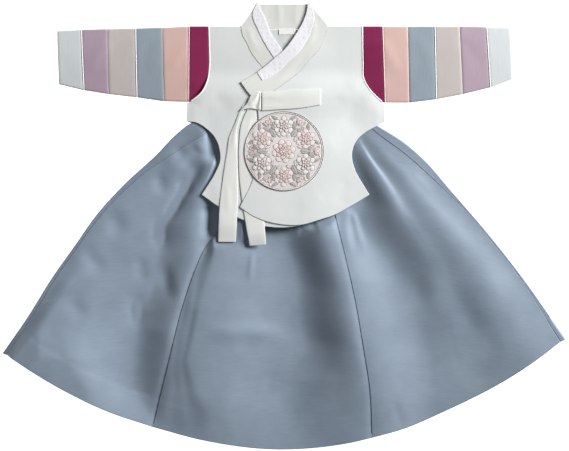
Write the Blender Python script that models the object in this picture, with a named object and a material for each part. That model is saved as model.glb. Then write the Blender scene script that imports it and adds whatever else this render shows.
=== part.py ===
"""A child's Korean hanbok laid flat on its back: a jeogori jacket with striped
sleeves, a lapped collar and a tied ribbon, over a flared chima skirt.

+X is to the viewer's right, +Y towards the neck and +Z up from the surface
that the garment lies on. Left and right in the names are the wearer's, so the
wearer's right lies at -X. Outlines are tables of (x, y) in millimetres.
"""
import math

import bpy
import numpy as np

MM = 0.001

# ---- Cloth thicknesses and clearances, in millimetres ---------------------
JACKET_WALL = 1.2
SKIRT_WALL = 1.6
RIBBON_WALL = 1.0
STRIP_WALL = 1.0
PATCH_WALL = 1.2
LABEL_WALL = 0.6
GAP = 0.3
SKIRT_SLACK = 1.2
JACKET_SLACK = 2.0
SLEEVE_PUFF = 1.5
PIPING_WIDTH = 1.4
PIPING_PROUD = 0.5
KNOT_THICKNESS = 3.0
SKIRT_SEAM_ROOM = GAP / 2 + 0.05

# How far past a lower layer's outline what lies on it stays up, and where it is down.
OFF_JACKET_BACK = (40, 95)
OFF_SKIRT = (12, 60)
OFF_INNER_FRONT = (12, 85)
OFF_JACKET_HEM = (14, 34)

# ---- Jacket outlines ------------------------------------------------------
ARMHOLE_RIGHT = [(-116, 305), (-115, 272), (-115, 241), (-118, 221), (-127, 203), (-137, 194),
                 (-142.5, 190)]
ARMHOLE_LEFT = [(119, 305), (120, 248), (121, 224), (129, 209), (141, 196), (149, 189)]
UNDERARM_RIGHT = [(-142.5, 190), (-148.5, 187)]
SIDE_SEAM_RIGHT = [(-148.5, 187), (-149, 159)]
UNDERARM_LEFT = [(149, 189), (153, 186)]
SIDE_SEAM_LEFT = [(153, 186), (153, 158)]
CUTOUT_RIGHT = [(-149, 159), (-137, 158), (-118, 147), (-106, 134), (-99, 116), (-98, 99),
                (-104, 83), (-118, 59), (-126, 47)]
CUTOUT_LEFT = [(153, 158), (139, 151), (123, 142), (110, 130), (103, 112), (103, 100),
               (108, 83), (118, 65), (129, 47)]
HEM_INNER_FRONT = [(-126, 47), (-99, 28), (-71, 12), (-30, -1), (-2, -3), (25, 0)]
HEM_OUTER_FRONT = [(-68, 28), (-47, 14), (-7, 2), (24, 1), (54, 9), (75, 16), (101, 30), (129, 47)]
HEM_BACK = [(-126, 47), (-71, 14), (0, -1), (75, 15), (129, 47)]
OVERLAP_EDGE = [(-42, 186), (-40, 162), (-42, 115), (-48, 72), (-68, 28)]
HIDDEN_FRONT_EDGE = [(-14, 218), (12, 200), (25, 170), (25, 90), (25, 0)]
SIDE_SEAM_DROP = ((8, 0.9), (9, 1.0), (10, 0.9), (11, 0.45))
NECK_PLACES = (-66, -53, -40, -20, 0, 20, 40, 53, 66)
NECK_FLAT_HALF_WIDTH = 40
NECK_DROP = 5
NECK_SHOULDER_MIDDLE = 91
SHOULDER_Y = 305
ARMHOLE_ROWS = 8
CUTOUT_ROWS = 12
FRONT_ROWS = ARMHOLE_ROWS + 3 + CUTOUT_ROWS
NECK_ROWS = 10
BEHIND_ROWS = 5
END_ROWS = 3

# ---- Collar outlines ------------------------------------------------------
COLLAR_INNER_SEAM = [(-43, 341), (-53, 324), (-67, 304), (-64, 290), (-59, 281), (-49, 261),
                     (-33, 241), (-14, 218)]
COLLAR_OUTER_SEAM = [(39, 341), (48, 328), (61, 313), (67, 305), (60, 289), (52, 269), (40, 256),
                     (21, 234), (9, 224), (-43, 187)]
# Rims and dongjeong seams: beside the white strip, and beyond its end.
COLLAR_INNER_RIM = {"beside": [(-41, 341), (-36, 328), (-30, 316), (-21, 293), (-10, 277), (-2, 267)],
                    "beyond": [(-2, 267), (18, 244)]}
DONGJEONG_INNER_SEAM = {"beside": [(-42, 341), (-49, 324), (-40, 298), (-30, 278), (-16, 256)],
                        "beyond": [(-16, 256), (3, 232)]}
COLLAR_OUTER_RIM = {"beside": [(36, 342), (34, 328), (27, 309), (17, 292), (-2, 267), (-15, 256),
                               (-30, 243), (-42, 234)],
                    "beyond": [(-42, 234), (-67, 219)]}
DONGJEONG_OUTER_SEAM = {"beside": [(38, 341.5), (45, 324), (40, 296), (29, 275), (19, 262), (4, 249),
                                   (-6, 238), (-22, 227), (-34, 221)],
                        "beyond": [(-34, 221), (-58, 206)]}
COLLAR_BACK_RIGHT = [(-39, 339), (-47, 324), (-53, 304)]
COLLAR_BACK_LEFT = [(37, 339), (45, 326), (53, 304)]
LABEL_CORNER = (-9, 292)
LABEL_SIZE = (25, 9)

# ---- Sleeve seams, from the cuff to the armhole: top and bottom ends -------
# Each row: strip, top_x, top_y, bottom_x, bottom_y and the piping along its seam.
SLEEVE_RIGHT = [("cuff", -348, 298, -345, 216, None),
                ("mauve", -311, 300, -307, 207, "white"),
                ("beige", -271, 301, -269, 201, None),
                ("blue", -228, 302, -226, 196, "white"),
                ("pink", -187, 303, -184, 190, None),
                ("crimson", -146, 305, -147, 189, "pink")]
SLEEVE_LEFT = [("cuff", 346, 303, 349, 224, None),
               ("mauve", 309, 304, 315, 211, "white"),
               ("beige", 268, 305, 273, 201, None),
               ("blue", 230, 305, 232, 193, "white"),
               ("pink", 189, 305, 191, 188, None),
               ("crimson", 150, 305, 154, 188, "pink")]

SLEEVE_SHARES = (0.0, 0.05, 0.12, 0.2, 0.3, 0.42, 0.56, 0.78, 1.0)
SLEEVE_FOLD_INSET = 1.0
ARMHOLE_ROOM = 1.4

# ---- Ribbon and patch -----------------------------------------------------
TAIL_OUTER_LEFT = [(-64, 183), (-68, 175), (-78, 150), (-83, 139), (-88, 110), (-93, 77),
                   (-98, 38), (-101, -25)]
TAIL_OUTER_RIGHT = [(-56, 186), (-62, 176), (-71.5, 152), (-72, 121), (-71, 60), (-72, 11),
                    (-74, -25)]
TAIL_INNER_LEFT = [(-53, 184), (-60, 170), (-67, 150), (-69, 130), (-69, 77), (-65, 40),
                   (-60, 9), (-53, -31)]
TAIL_INNER_RIGHT = [(-43.5, 183), (-42, 160), (-42, 130), (-42, 77), (-37, 40), (-31, 8),
                    (-28, -29)]
KNOT_LEFT = [(-41, 204), (-51, 198), (-57, 186), (-68, 175)]
KNOT_RIGHT = [(-36, 204), (-36, 176)]
LOOP_TOP = [(-34, 203), (8, 206), (54, 209)]
LOOP_BOTTOM = [(-34, 175), (-5, 177), (24, 179), (54, 184)]
MEDALLION_CENTRE = (-1, 113)
MEDALLION_RADIUS = 61

# ---- Skirt outlines -------------------------------------------------------
SKIRT_EDGE_RIGHT = [(-126, 163), (-146, 155), (-166, 139), (-195, 109), (-243, 65), (-287, 17),
                    (-321, -31), (-355, -79), (-393, -140), (-431, -195)]
SKIRT_EDGE_LEFT = [(126, 163), (144, 152), (185, 126), (216, 99), (254, 55), (305, -4),
                   (356, -68), (431, -174)]
SIDE_LINE_RIGHT = [(-104, 163), (-118, 143), (-152, 122), (-180, 103), (-203, 88), (-238, 60),
                   (-282, 14), (-317, -33), (-350, -81), (-388, -142), (-423, -198)]
SIDE_LINE_LEFT = [(118, 163), (133, 148), (185, 108), (237, 61), (289, 10), (314, -21),
                  (352, -69), (422, -178)]
FRONT_SEAM_RIGHT = [(-60, 163), (-72, 70), (-103, -12), (-121, -34), (-137, -70), (-154, -120),
                    (-176, -206), (-201, -307)]
FRONT_SEAM_LEFT = [(52, 163), (60, 85), (79, 8), (94, -54), (108, -118), (121, -194), (129, -245), (133, -323)]
HEM_RIGHT = [(-423, -198), (-332, -253), (-263, -286), (-201, -307)]
HEM_CENTRE = [(-201, -307), (-129, -326), (8, -342), (100, -331), (133, -323)]
HEM_LEFT = [(133, -323), (185, -309), (254, -280), (322, -246), (390, -202), (422, -178)]
HEM_BACK_RIGHT = [(0, -337), (-129, -322), (-203, -302), (-263, -282), (-332, -249), (-427, -193)]
HEM_BACK_LEFT = [(0, -337), (100, -327), (185, -304), (254, -275), (322, -241), (427, -172)]
WAIST_Y = 163
WAISTBAND_HALF_WIDTH = 112
WAISTBAND_TOP_Y = 182

# Height that the front of the skirt stands off its back, by distance below the waist.
CROWN = [(0, 0.5), (60, 4.0), (150, 8.0), (250, 11.0), (380, 8.5), (510, 5.0)]
SIDE_ROUNDING = 75
SKIRT_ROWS = 21
SKIRT_BACK_COLUMNS = 7
SIDE_FOLD_ANGLES = (-60, -20, 20, 60)

# Troughs between the folds: the line they follow, the share of the height
# that they take away and their half-width at the top and at the hem.
TROUGHS = [
    {"line": [(28, 60), (36, -1), (56, -82), (76, -172), (84, -240), (90, -320)],
     "share": 0.72, "widths": (14, 20)},
    {"line": [(-118, 90), (-145, 40), (-178, -13), (-176, -99), (-202, -167), (-228, -260)],
     "share": 0.62, "widths": (18, 26)},
    {"line": [(120, 70), (150, 20), (192, -50), (222, -100), (238, -160)],
     "share": 0.66, "widths": (16, 26)},
    {"line": [(232, 30), (263, -13), (288, -80), (302, -160), (318, -236)],
     "share": 0.58, "widths": (16, 28)},
    {"line": [(-72, 70), (-103, -12), (-121, -34), (-154, -120), (-176, -206), (-201, -307)],
     "share": 0.34, "widths": (10, 16)},
    {"line": [(60, 85), (79, 8), (108, -118), (121, -194), (129, -245), (133, -323)],
     "share": 0.36, "widths": (9, 14)},
    {"line": [(-45, -20), (-52, -70), (-66, -150), (-78, -240), (-84, -330)],
     "share": 0.30, "widths": (12, 30)},
    {"line": [(-235, 20), (-270, -60), (-318, -150), (-345, -235)],
     "share": 0.40, "widths": (14, 30)},
]

COLOURS = {
    "slate_satin": (0.24, 0.32, 0.41, 0.45),
    "white_silk": (0.80, 0.82, 0.80, 0.60),
    "cream_silk": (0.78, 0.78, 0.72, 0.60),
    "bright_white": (0.90, 0.90, 0.92, 0.50),
    "crimson": (0.24, 0.02, 0.08, 0.60),
    "pink": (0.70, 0.46, 0.42, 0.60),
    "blue": (0.28, 0.36, 0.44, 0.60),
    "beige": (0.56, 0.50, 0.46, 0.60),
    "mauve": (0.42, 0.30, 0.41, 0.60),
    "cuff": (0.66, 0.70, 0.72, 0.60),
    "pale_pink": (0.78, 0.62, 0.62, 0.60),
    "patch": (0.72, 0.66, 0.60, 0.70),
}


# ---- Curves and surfaces --------------------------------------------------
def smoothstep(low, high, value):
    """Rise smoothly from 0 at low to 1 at high."""
    t = np.clip((value - low) / (high - low), 0.0, 1.0)
    return t * t * (3.0 - 2.0 * t)


def spread(points, pieces):
    """Points evenly spaced along a polyline, one more than pieces."""
    points = np.asarray(points, float)
    steps = np.linalg.norm(np.diff(points, axis=0), axis=1)
    along = np.concatenate([[0.0], np.cumsum(steps)])
    places = np.linspace(0.0, along[-1], pieces + 1)
    return np.column_stack([np.interp(places, along, points[:, k]) for k in range(points.shape[1])])


def smooth(points, per_span=12):
    """A smooth curve through the points, as a fine polyline."""
    points = np.asarray(points, float)
    if len(points) < 3:
        return points
    steps = np.linalg.norm(np.diff(points, axis=0), axis=1)
    slopes = np.diff(points, axis=0) / steps[:, None]
    tangents = np.empty_like(points)
    tangents[0], tangents[-1] = slopes[0], slopes[-1]
    before, after = steps[:-1, None], steps[1:, None]
    tangents[1:-1] = (slopes[:-1] * after + slopes[1:] * before) / (before + after)
    fine = [points[0]]
    for k, step in enumerate(steps):
        for s in np.arange(1, per_span + 1) / per_span:
            h0, h1 = 2 * s**3 - 3 * s**2 + 1, s**3 - 2 * s**2 + s
            h2, h3 = -2 * s**3 + 3 * s**2, s**3 - s**2
            fine.append(h0 * points[k] + h1 * step * tangents[k]
                        + h2 * points[k + 1] + h3 * step * tangents[k + 1])
    return np.array(fine)


def edge(*stretches):
    """One edge from (points, pieces) stretches, which meet at corners."""
    parts = [spread(smooth(points), pieces) for points, pieces in stretches]
    return np.vstack([parts[0]] + [part[1:] for part in parts[1:]])


def moved(path, distance):
    """The path moved to its right-hand side, seen from above, by a distance."""
    tangents = np.gradient(path, axis=0)
    tangents /= np.linalg.norm(tangents, axis=1)[:, None]
    normals = np.column_stack([tangents[:, 1], -tangents[:, 0]])
    return path + distance * normals


def fractions(path):
    """How far along the path each of its points is, from 0 to 1."""
    along = np.concatenate([[0.0], np.cumsum(np.linalg.norm(np.diff(path, axis=0), axis=1))])
    return along / along[-1]


def patch(left, right, top, bottom):
    """A grid of points between four edges; rows run from top to bottom."""
    left, right, top, bottom = (np.asarray(path, float) for path in (left, right, top, bottom))
    v = ((fractions(left) + fractions(right)) / 2)[:, None, None]
    u = ((fractions(top) + fractions(bottom)) / 2)[None, :, None]
    across = (1 - u) * left[:, None] + u * right[:, None]
    down = (1 - v) * top[None] + v * bottom[None]
    corners = ((1 - u) * (1 - v) * left[0] + u * (1 - v) * right[0]
               + (1 - u) * v * left[-1] + u * v * right[-1])
    return across + down - corners


def line_distance(x, y, path):
    """Distance from each point to a polyline, and how far along the nearest place is."""
    path = np.asarray(path, float)
    best = np.full(np.shape(x), np.inf)
    place = np.zeros(np.shape(x))
    share = fractions(path)
    for k in range(len(path) - 1):
        start, run = path[k], path[k + 1] - path[k]
        if not run.any():
            continue
        t = np.clip(((x - start[0]) * run[0] + (y - start[1]) * run[1]) / (run @ run), 0, 1)
        distance = np.hypot(x - start[0] - t * run[0], y - start[1] - t * run[1])
        nearer = distance < best
        best = np.where(nearer, distance, best)
        place = np.where(nearer, share[k] + t * (share[k + 1] - share[k]), place)
    return best, place


def outside(x, y, outline):
    """Distance outside a closed outline, 0 for points inside it."""
    outline = np.asarray(outline, float)
    closed = np.vstack([outline, outline[:1]])
    within = np.zeros(np.shape(x), bool)
    for (x0, y0), (x1, y1) in zip(closed[:-1], closed[1:]):
        if y0 != y1:
            crossing = (y0 > y) != (y1 > y)
            within ^= crossing & (x < x0 + (y - y0) * (x1 - x0) / (y1 - y0))
    return np.where(within, 0.0, line_distance(x, y, closed)[0])


def cover(x, y, outline, margins):
    """1 over an outline and the first margin round it, falling to 0 at the second."""
    return 1.0 - smoothstep(*margins, outside(x, y, outline))


# ---- Footprints of the lower layers ---------------------------------------
JACKET_BACK_OUTLINE = np.vstack([
    smooth(ARMHOLE_RIGHT), smooth(CUTOUT_RIGHT), smooth(HEM_BACK)[1:-1],
    smooth(CUTOUT_LEFT)[::-1], smooth(ARMHOLE_LEFT)[::-1]])
SKIRT_TOP_OUTLINE = np.vstack([
    smooth(SKIRT_EDGE_RIGHT), smooth(SKIRT_EDGE_LEFT)[::-1],
    [(WAISTBAND_HALF_WIDTH, WAIST_Y), (WAISTBAND_HALF_WIDTH, WAISTBAND_TOP_Y),
     (-WAISTBAND_HALF_WIDTH, WAISTBAND_TOP_Y), (-WAISTBAND_HALF_WIDTH, WAIST_Y)]])
INNER_FRONT_OUTLINE = np.vstack([
    smooth(ARMHOLE_RIGHT), smooth(CUTOUT_RIGHT), smooth(HEM_INNER_FRONT),
    smooth(HIDDEN_FRONT_EDGE)[::-1], smooth(COLLAR_INNER_RIM["beside"])[::-1], smooth(COLLAR_INNER_SEAM)[:1]])


# ---- Heights of the layers, in millimetres --------------------------------
def skirt_bed(x, y):
    """Height that the back of the skirt lies at: on the jacket's back, then on the surface."""
    return (JACKET_WALL + GAP) * cover(x, y, JACKET_BACK_OUTLINE, OFF_JACKET_BACK)


def skirt_crown(x, y):
    """How far the ridges of the skirt's front stand above its flat layers."""
    downs, heights = zip(*CROWN)
    rise = np.interp(WAIST_Y - y, downs, heights)
    to_right = line_distance(x, y, smooth(SKIRT_EDGE_RIGHT))[0]
    to_left = line_distance(x, y, smooth(SKIRT_EDGE_LEFT))[0]
    return rise * smoothstep(0, SIDE_ROUNDING, np.minimum(to_right, to_left))


def skirt_ridge_top(x, y):
    """Top of the skirt with no troughs in it, which is what the jacket lies on."""
    return skirt_bed(x, y) + 2 * SKIRT_WALL + SKIRT_SLACK + skirt_crown(x, y)


def skirt_top(x, y):
    """Top of the skirt's front, with its troughs."""
    kept = np.ones(np.shape(x))
    for trough in TROUGHS:
        distance, place = line_distance(x, y, smooth(trough["line"]))
        start, end = trough["widths"]
        width = start + (end - start) * place
        fade = smoothstep(-0.02, 0.25, place)
        kept *= 1.0 - trough["share"] * fade * np.exp(-(distance / width) ** 2)
    return skirt_bed(x, y) + 2 * SKIRT_WALL + SKIRT_SLACK + skirt_crown(x, y) * kept


def front_bed(x, y):
    """Underside of the jacket's inner front: on its back, then over the skirt."""
    on_back = JACKET_WALL + GAP
    slack = JACKET_SLACK * smoothstep(-175, -115, -y)
    over_skirt = skirt_ridge_top(x, y) + GAP + slack
    return on_back + (over_skirt - on_back) * cover(x, y, SKIRT_TOP_OUTLINE, OFF_SKIRT)


def outer_bed(x, y):
    """Underside of the outer front, over the inner front and the ribbon's inner tail."""
    lap = JACKET_WALL + RIBBON_WALL + 2 * GAP
    return front_bed(x, y) + lap * cover(x, y, INNER_FRONT_OUTLINE, OFF_INNER_FRONT)


def ribbon_bed(x, y):
    """Underside of the ribbon's tails, on the inner front and below it on the skirt."""
    on_skirt = skirt_ridge_top(x, y) + GAP
    on_front = front_bed(x, y) + JACKET_WALL + GAP
    return on_skirt + (on_front - on_skirt) * cover(x, y, INNER_FRONT_OUTLINE, OFF_JACKET_HEM)


# ---- Solids ---------------------------------------------------------------
def clear_scene():
    for item in list(bpy.data.objects):
        bpy.data.objects.remove(item, do_unlink=True)


def material(name):
    """The cloth of a piece, made once."""
    if name in bpy.data.materials:
        return bpy.data.materials[name]
    red, green, blue, roughness = COLOURS[name]
    made = bpy.data.materials.new(name)
    made.use_nodes = True
    shader = made.node_tree.nodes["Principled BSDF"]
    shader.inputs["Base Color"].default_value = (red, green, blue, 1.0)
    shader.inputs["Roughness"].default_value = roughness
    shader.inputs["Metallic"].default_value = 0.0
    return made


def add_object(name, points, faces, cloth):
    """Make an object from points in millimetres, with its faces pointing out."""
    mesh = bpy.data.meshes.new(name)
    mesh.from_pydata([tuple(point * MM) for point in points], [], faces)
    made = bpy.data.objects.new(name, mesh)
    bpy.context.scene.collection.objects.link(made)
    mesh.materials.append(material(cloth))
    mesh.shade_smooth()
    mesh.set_sharp_from_angle(angle=math.radians(40))
    return made


def wall(name, outer, inner, cloth, ring=False):
    """A wall of cloth between two grids of points.

    Rows and columns match. With ring set, the last column joins the first.
    """
    rows, columns = outer.shape[:2]
    size = rows * columns
    spans = columns if ring else columns - 1

    def at(row, column, layer):
        return layer * size + row * columns + column % columns

    faces = []

    def add_quad(a, b, c, d):
        faces.extend([(a, b, c), (a, c, d)])

    for i in range(rows - 1):
        for j in range(spans):
            a, b, c, d = at(i, j, 0), at(i + 1, j, 0), at(i + 1, j + 1, 0), at(i, j + 1, 0)
            add_quad(a, b, c, d)
            faces.extend([(c + size, b + size, a + size), (d + size, c + size, a + size)])
    last, end = rows - 1, columns - 1
    for j in range(spans):
        add_quad(at(0, j, 0), at(0, j + 1, 0), at(0, j + 1, 1), at(0, j, 1))
        add_quad(at(last, j, 1), at(last, j + 1, 1), at(last, j + 1, 0), at(last, j, 0))
    if not ring:
        for i in range(rows - 1):
            add_quad(at(i, 0, 0), at(i, 0, 1), at(i + 1, 0, 1), at(i + 1, 0, 0))
            add_quad(at(i, end, 1), at(i, end, 0), at(i + 1, end, 0), at(i + 1, end, 1))
    points = np.vstack([outer.reshape(-1, 3), inner.reshape(-1, 3)])
    if volume(points, faces) < 0:
        faces = [face[::-1] for face in faces]
    return add_object(name, points, faces, cloth)


def volume(points, faces):
    """Signed volume inside a closed set of triangles."""
    return sum(np.dot(points[p], np.cross(points[q], points[r])) for p, q, r in faces) / 6.0


def with_height(grid, height):
    """The grid's points lifted to a height, a number or an array."""
    return np.dstack([grid, np.broadcast_to(height, grid.shape[:2])])


def sheet(name, grid, bed, thickness, cloth):
    """A panel whose underside is at bed(x, y) over the grid."""
    low = bed(grid[..., 0], grid[..., 1]) if callable(bed) else bed
    low = np.broadcast_to(low, grid.shape[:2])
    return wall(name, with_height(grid, low + thickness), with_height(grid, low), cloth)


# ---- Skirt ----------------------------------------------------------------
def build_skirt_front():
    rows = SKIRT_ROWS
    seams = {
        "side_right": edge((SIDE_LINE_RIGHT, rows)),
        "right": edge((FRONT_SEAM_RIGHT, rows)),
        "left": edge((FRONT_SEAM_LEFT, rows)),
        "side_left": edge((SIDE_LINE_LEFT, rows)),
    }
    panels = [("chima_front_right", "side_right", "right", HEM_RIGHT, 9),
              ("chima_front_centre", "right", "left", HEM_CENTRE, 12),
              ("chima_front_left", "left", "side_left", HEM_LEFT, 10)]
    for name, start, end, hem, columns in panels:
        left = moved(seams[start], -SKIRT_SEAM_ROOM)
        right = moved(seams[end], SKIRT_SEAM_ROOM)
        top = spread([left[0], right[0]], columns)
        bottom = edge((hem, columns))
        bottom[0], bottom[-1] = left[-1], right[-1]
        grid = patch(left, right, top, bottom)
        height = skirt_top(grid[..., 0], grid[..., 1])
        wall(name, with_height(grid, height), with_height(grid, height - SKIRT_WALL), "slate_satin")


def build_skirt_back(name, outline, side_line, hem, sign):
    """Back panel: flat, turned up over the side fold and on to the side seam."""
    rows, columns = SKIRT_ROWS, SKIRT_BACK_COLUMNS
    radius = SKIRT_WALL + SKIRT_SLACK / 2
    fold = moved(edge((outline, rows)), sign * radius)
    outward = moved(fold, -sign) - fold
    centre = np.column_stack([np.full(rows + 1, sign * SKIRT_SEAM_ROOM),
                              np.linspace(WAIST_Y, hem[0][1], rows + 1)])
    bottom = edge((hem, columns))
    bottom[0], bottom[-1] = centre[-1], fold[-1]
    flat = patch(centre, fold, spread([centre[0], fold[0]], columns), bottom)
    seam = moved(edge((side_line, rows)), -sign * SKIRT_SEAM_ROOM)
    bed = skirt_bed(flat[..., 0], flat[..., 1])
    outer = [with_height(flat, bed)]
    inner = [with_height(flat, bed + SKIRT_WALL)]
    for angle in SIDE_FOLD_ANGLES:
        turn = math.radians(angle)
        for layers, reach in ((outer, radius), (inner, radius - SKIRT_WALL)):
            place = fold + outward * reach * math.cos(turn)
            height = bed[:, -1] + radius + reach * math.sin(turn)
            layers.append(with_height(place[:, None], height[:, None]))
    for share in (0.0, 0.5, 1.0):
        place = (fold + (seam - fold) * share)[:, None]
        height = skirt_top(place[..., 0], place[..., 1])
        outer.append(with_height(place, height))
        inner.append(with_height(place, height - SKIRT_WALL))
    wall(name, np.concatenate(outer, axis=1), np.concatenate(inner, axis=1), "slate_satin")


def build_waistband():
    """Plain band at the top of the skirt, inside the jacket."""
    bottom_y = WAIST_Y + GAP
    xs = np.linspace(-WAISTBAND_HALF_WIDTH, WAISTBAND_HALF_WIDTH, 9)
    ys = np.linspace(WAISTBAND_TOP_Y, bottom_y, 3)
    grid = np.dstack(np.meshgrid(xs, ys))
    sheet("chima_waistband_back", grid, JACKET_WALL + GAP, SKIRT_WALL, "white_silk")
    front_bed_height = JACKET_WALL + GAP + SKIRT_WALL + SKIRT_SLACK
    sheet("chima_waistband_front", grid, front_bed_height, SKIRT_WALL, "white_silk")


# ---- Jacket ---------------------------------------------------------------
def neck_y(x):
    """Back neckline: a shallow scoop between the shoulders."""
    return SHOULDER_Y - NECK_DROP * smoothstep(-NECK_PLACES[-1], -NECK_FLAT_HALF_WIDTH, -np.abs(x))


def side_edge(armhole, underarm, side, cutout):
    """Side of a jacket panel, from the shoulder to the hem's corner."""
    return edge((armhole, ARMHOLE_ROWS), (underarm, 1), (side, 2), (cutout, CUTOUT_ROWS))


def build_jacket_back():
    left = moved(side_edge(ARMHOLE_RIGHT, UNDERARM_RIGHT, SIDE_SEAM_RIGHT, CUTOUT_RIGHT), -GAP / 2)
    right = moved(side_edge(ARMHOLE_LEFT, UNDERARM_LEFT, SIDE_SEAM_LEFT, CUTOUT_LEFT), GAP / 2)
    xs = np.array([left[0][0], -NECK_SHOULDER_MIDDLE, *NECK_PLACES, NECK_SHOULDER_MIDDLE, right[0][0]])
    columns = len(xs) - 1
    top = np.column_stack([xs, neck_y(xs)])
    bottom = edge((HEM_BACK, columns))
    bottom[0], bottom[-1] = left[-1], right[-1]
    sheet("jeogori_back", patch(left, right, top, bottom), 0.0, JACKET_WALL, "white_silk")


def front_panel(name, grid, bed, seam_column):
    """A jacket front, brought down to the back along its side seam."""
    low = bed(grid[..., 0], grid[..., 1])
    on_back = JACKET_WALL + GAP
    for row, share in SIDE_SEAM_DROP:
        low[row, seam_column] += (on_back - low[row, seam_column]) * share
    wall(name, with_height(grid, low + JACKET_WALL), with_height(grid, low), "white_silk")


def uneven(path, shares):
    """Points of a fine path at the given shares of its length."""
    fine = smooth(path)
    along = fractions(fine)
    return np.column_stack([np.interp(shares, along, fine[:, k]) for k in range(2)])


def build_jacket_fronts():
    side_share = 0.035
    inner_shares = np.concatenate([[0.0, side_share], np.linspace(side_share, 1.0, 10)[1:]])
    left = moved(side_edge(ARMHOLE_RIGHT, UNDERARM_RIGHT, SIDE_SEAM_RIGHT, CUTOUT_RIGHT), -GAP / 2)
    neckline = neck_edge(COLLAR_INNER_SEAM)[BEHIND_ROWS:]
    seam = moved(np.vstack([neckline, edge((HIDDEN_FRONT_EDGE, FRONT_ROWS - NECK_ROWS))[1:]]), GAP)
    top = uneven([left[0], seam[0]], inner_shares)
    bottom = uneven(HEM_INNER_FRONT, inner_shares)
    bottom[0], bottom[-1] = left[-1], seam[-1]
    front_panel("jeogori_front_right", patch(left, seam, top, bottom), front_bed, 0)

    outer_shares = 1.0 - inner_shares[::-1]
    right = moved(side_edge(ARMHOLE_LEFT, UNDERARM_LEFT, SIDE_SEAM_LEFT, CUTOUT_LEFT), GAP / 2)
    neckline = neck_edge(COLLAR_OUTER_SEAM)[BEHIND_ROWS:]
    lap = moved(np.vstack([neckline, edge((OVERLAP_EDGE, FRONT_ROWS - NECK_ROWS))[1:]]), -GAP)
    top = uneven([lap[0], right[0]], outer_shares)
    bottom = uneven(HEM_OUTER_FRONT, outer_shares)
    bottom[0], bottom[-1] = lap[-1], right[-1]
    front_panel("jeogori_front_left", patch(lap, right, top, bottom), outer_bed, -1)


def band(name, left, right, bed, thickness, cloth, columns=2):
    """A strip between two long edges with as many points each."""
    top = spread([left[0], right[0]], columns)
    bottom = spread([left[-1], right[-1]], columns)
    sheet(name, patch(left, right, top, bottom), bed, thickness, cloth)


def raised(bed, height):
    """The bed of what lies on a piece that is itself on another bed."""
    return lambda x, y: bed(x, y) + height


def neck_edge(seam):
    """A collar's seam: behind the shoulder, then as the front's neckline is stepped."""
    turn = [abs(y - SHOULDER_Y) <= 1 for _, y in seam].index(True)
    return edge((seam[:turn + 1], BEHIND_ROWS), (seam[turn:], NECK_ROWS))


def collar_band(name, strip_name, rim, strip_seam, seam, bed):
    """One side of the collar, and the dongjeong made from its points along the rim."""
    strip_rows = BEHIND_ROWS + NECK_ROWS - END_ROWS
    columns = [edge((rim["beside"], strip_rows), (rim["beyond"], END_ROWS)),
               edge((strip_seam["beside"], strip_rows), (strip_seam["beyond"], END_ROWS)),
               None, neck_edge(seam)]
    columns[2] = (columns[1] + columns[3]) / 2
    grid = np.stack(columns, axis=1)
    low = bed(grid[..., 0], grid[..., 1])
    wall(name, with_height(grid, low + JACKET_WALL), with_height(grid, low), "cream_silk")
    on_band = low[:strip_rows + 1, :2] + JACKET_WALL + GAP
    strip = grid[:strip_rows + 1, :2]
    wall(strip_name, with_height(strip, on_band + STRIP_WALL), with_height(strip, on_band), "bright_white")


def build_collar():
    left, right = edge((COLLAR_BACK_RIGHT, 4)), edge((COLLAR_BACK_LEFT, 4))
    xs = np.array(NECK_PLACES[1:-1], float)
    bottom = np.column_stack([xs, neck_y(xs) + 2 * GAP])
    left[-1], right[-1] = bottom[0], bottom[-1]
    grid = patch(left, right, spread([left[0], right[0]], len(xs) - 1), bottom)
    sheet("collar_back", grid, 0.0, JACKET_WALL, "cream_silk")

    collar_band("collar_inner", "dongjeong_inner", COLLAR_INNER_RIM, DONGJEONG_INNER_SEAM,
                COLLAR_INNER_SEAM, front_bed)
    collar_band("collar_outer", "dongjeong_outer", COLLAR_OUTER_RIM, DONGJEONG_OUTER_SEAM,
                COLLAR_OUTER_SEAM, outer_bed)

    (x, y), (width, height) = LABEL_CORNER, LABEL_SIZE
    grid = np.dstack(np.meshgrid([x, x + width], [y + height, y]))
    sheet("neck_label", grid, JACKET_WALL + GAP, LABEL_WALL, "bright_white")


# ---- Sleeves --------------------------------------------------------------
def sleeve_section(top, bottom, puff, proud=0.0):
    """Outer and inner rings of a flattened sleeve at one seam.

    The ring goes along the surface from the underarm seam to the fold at the
    shoulder line, round it, and back over the top.
    """
    lower = np.array(SLEEVE_SHARES)
    upper = lower[::-1]
    thick = 2 * JACKET_WALL + GAP
    lens = puff * 4 * upper * (1 - upper)
    rings = []
    for depth, over in ((0.0, proud), (JACKET_WALL, 0.0)):
        shares = np.concatenate([lower, [1.0], upper])
        heights = np.concatenate([np.full(len(lower), depth), [thick / 2], thick - depth + lens + over])
        shifts = np.zeros(len(shares))
        shifts[[0, -1]] = depth - over
        fold = len(lower)
        shifts[[fold - 1, fold + 1]] = -SLEEVE_FOLD_INSET - depth
        shifts[fold] = over - depth
        rings.append(ring_points(top, bottom, shares, shifts, heights))
    return rings


def ring_points(top, bottom, shares, shifts, heights):
    """Place ring entries by share from the bottom edge, shift outwards and height."""
    top, bottom = np.asarray(top, float), np.asarray(bottom, float)
    run = (top - bottom) / np.linalg.norm(top - bottom)
    places = bottom + (top - bottom) * shares[:, None] + run * shifts[:, None]
    return np.column_stack([places, heights])


def bend_to(ring, armhole, along):
    """Move a ring's points sideways on to the armhole, by a share."""
    path = armhole[::-1]
    target = np.interp(ring[:, 1], path[:, 1], path[:, 0])
    ring = ring.copy()
    ring[:, 0] += (target - ring[:, 0]) * along
    return ring


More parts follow.
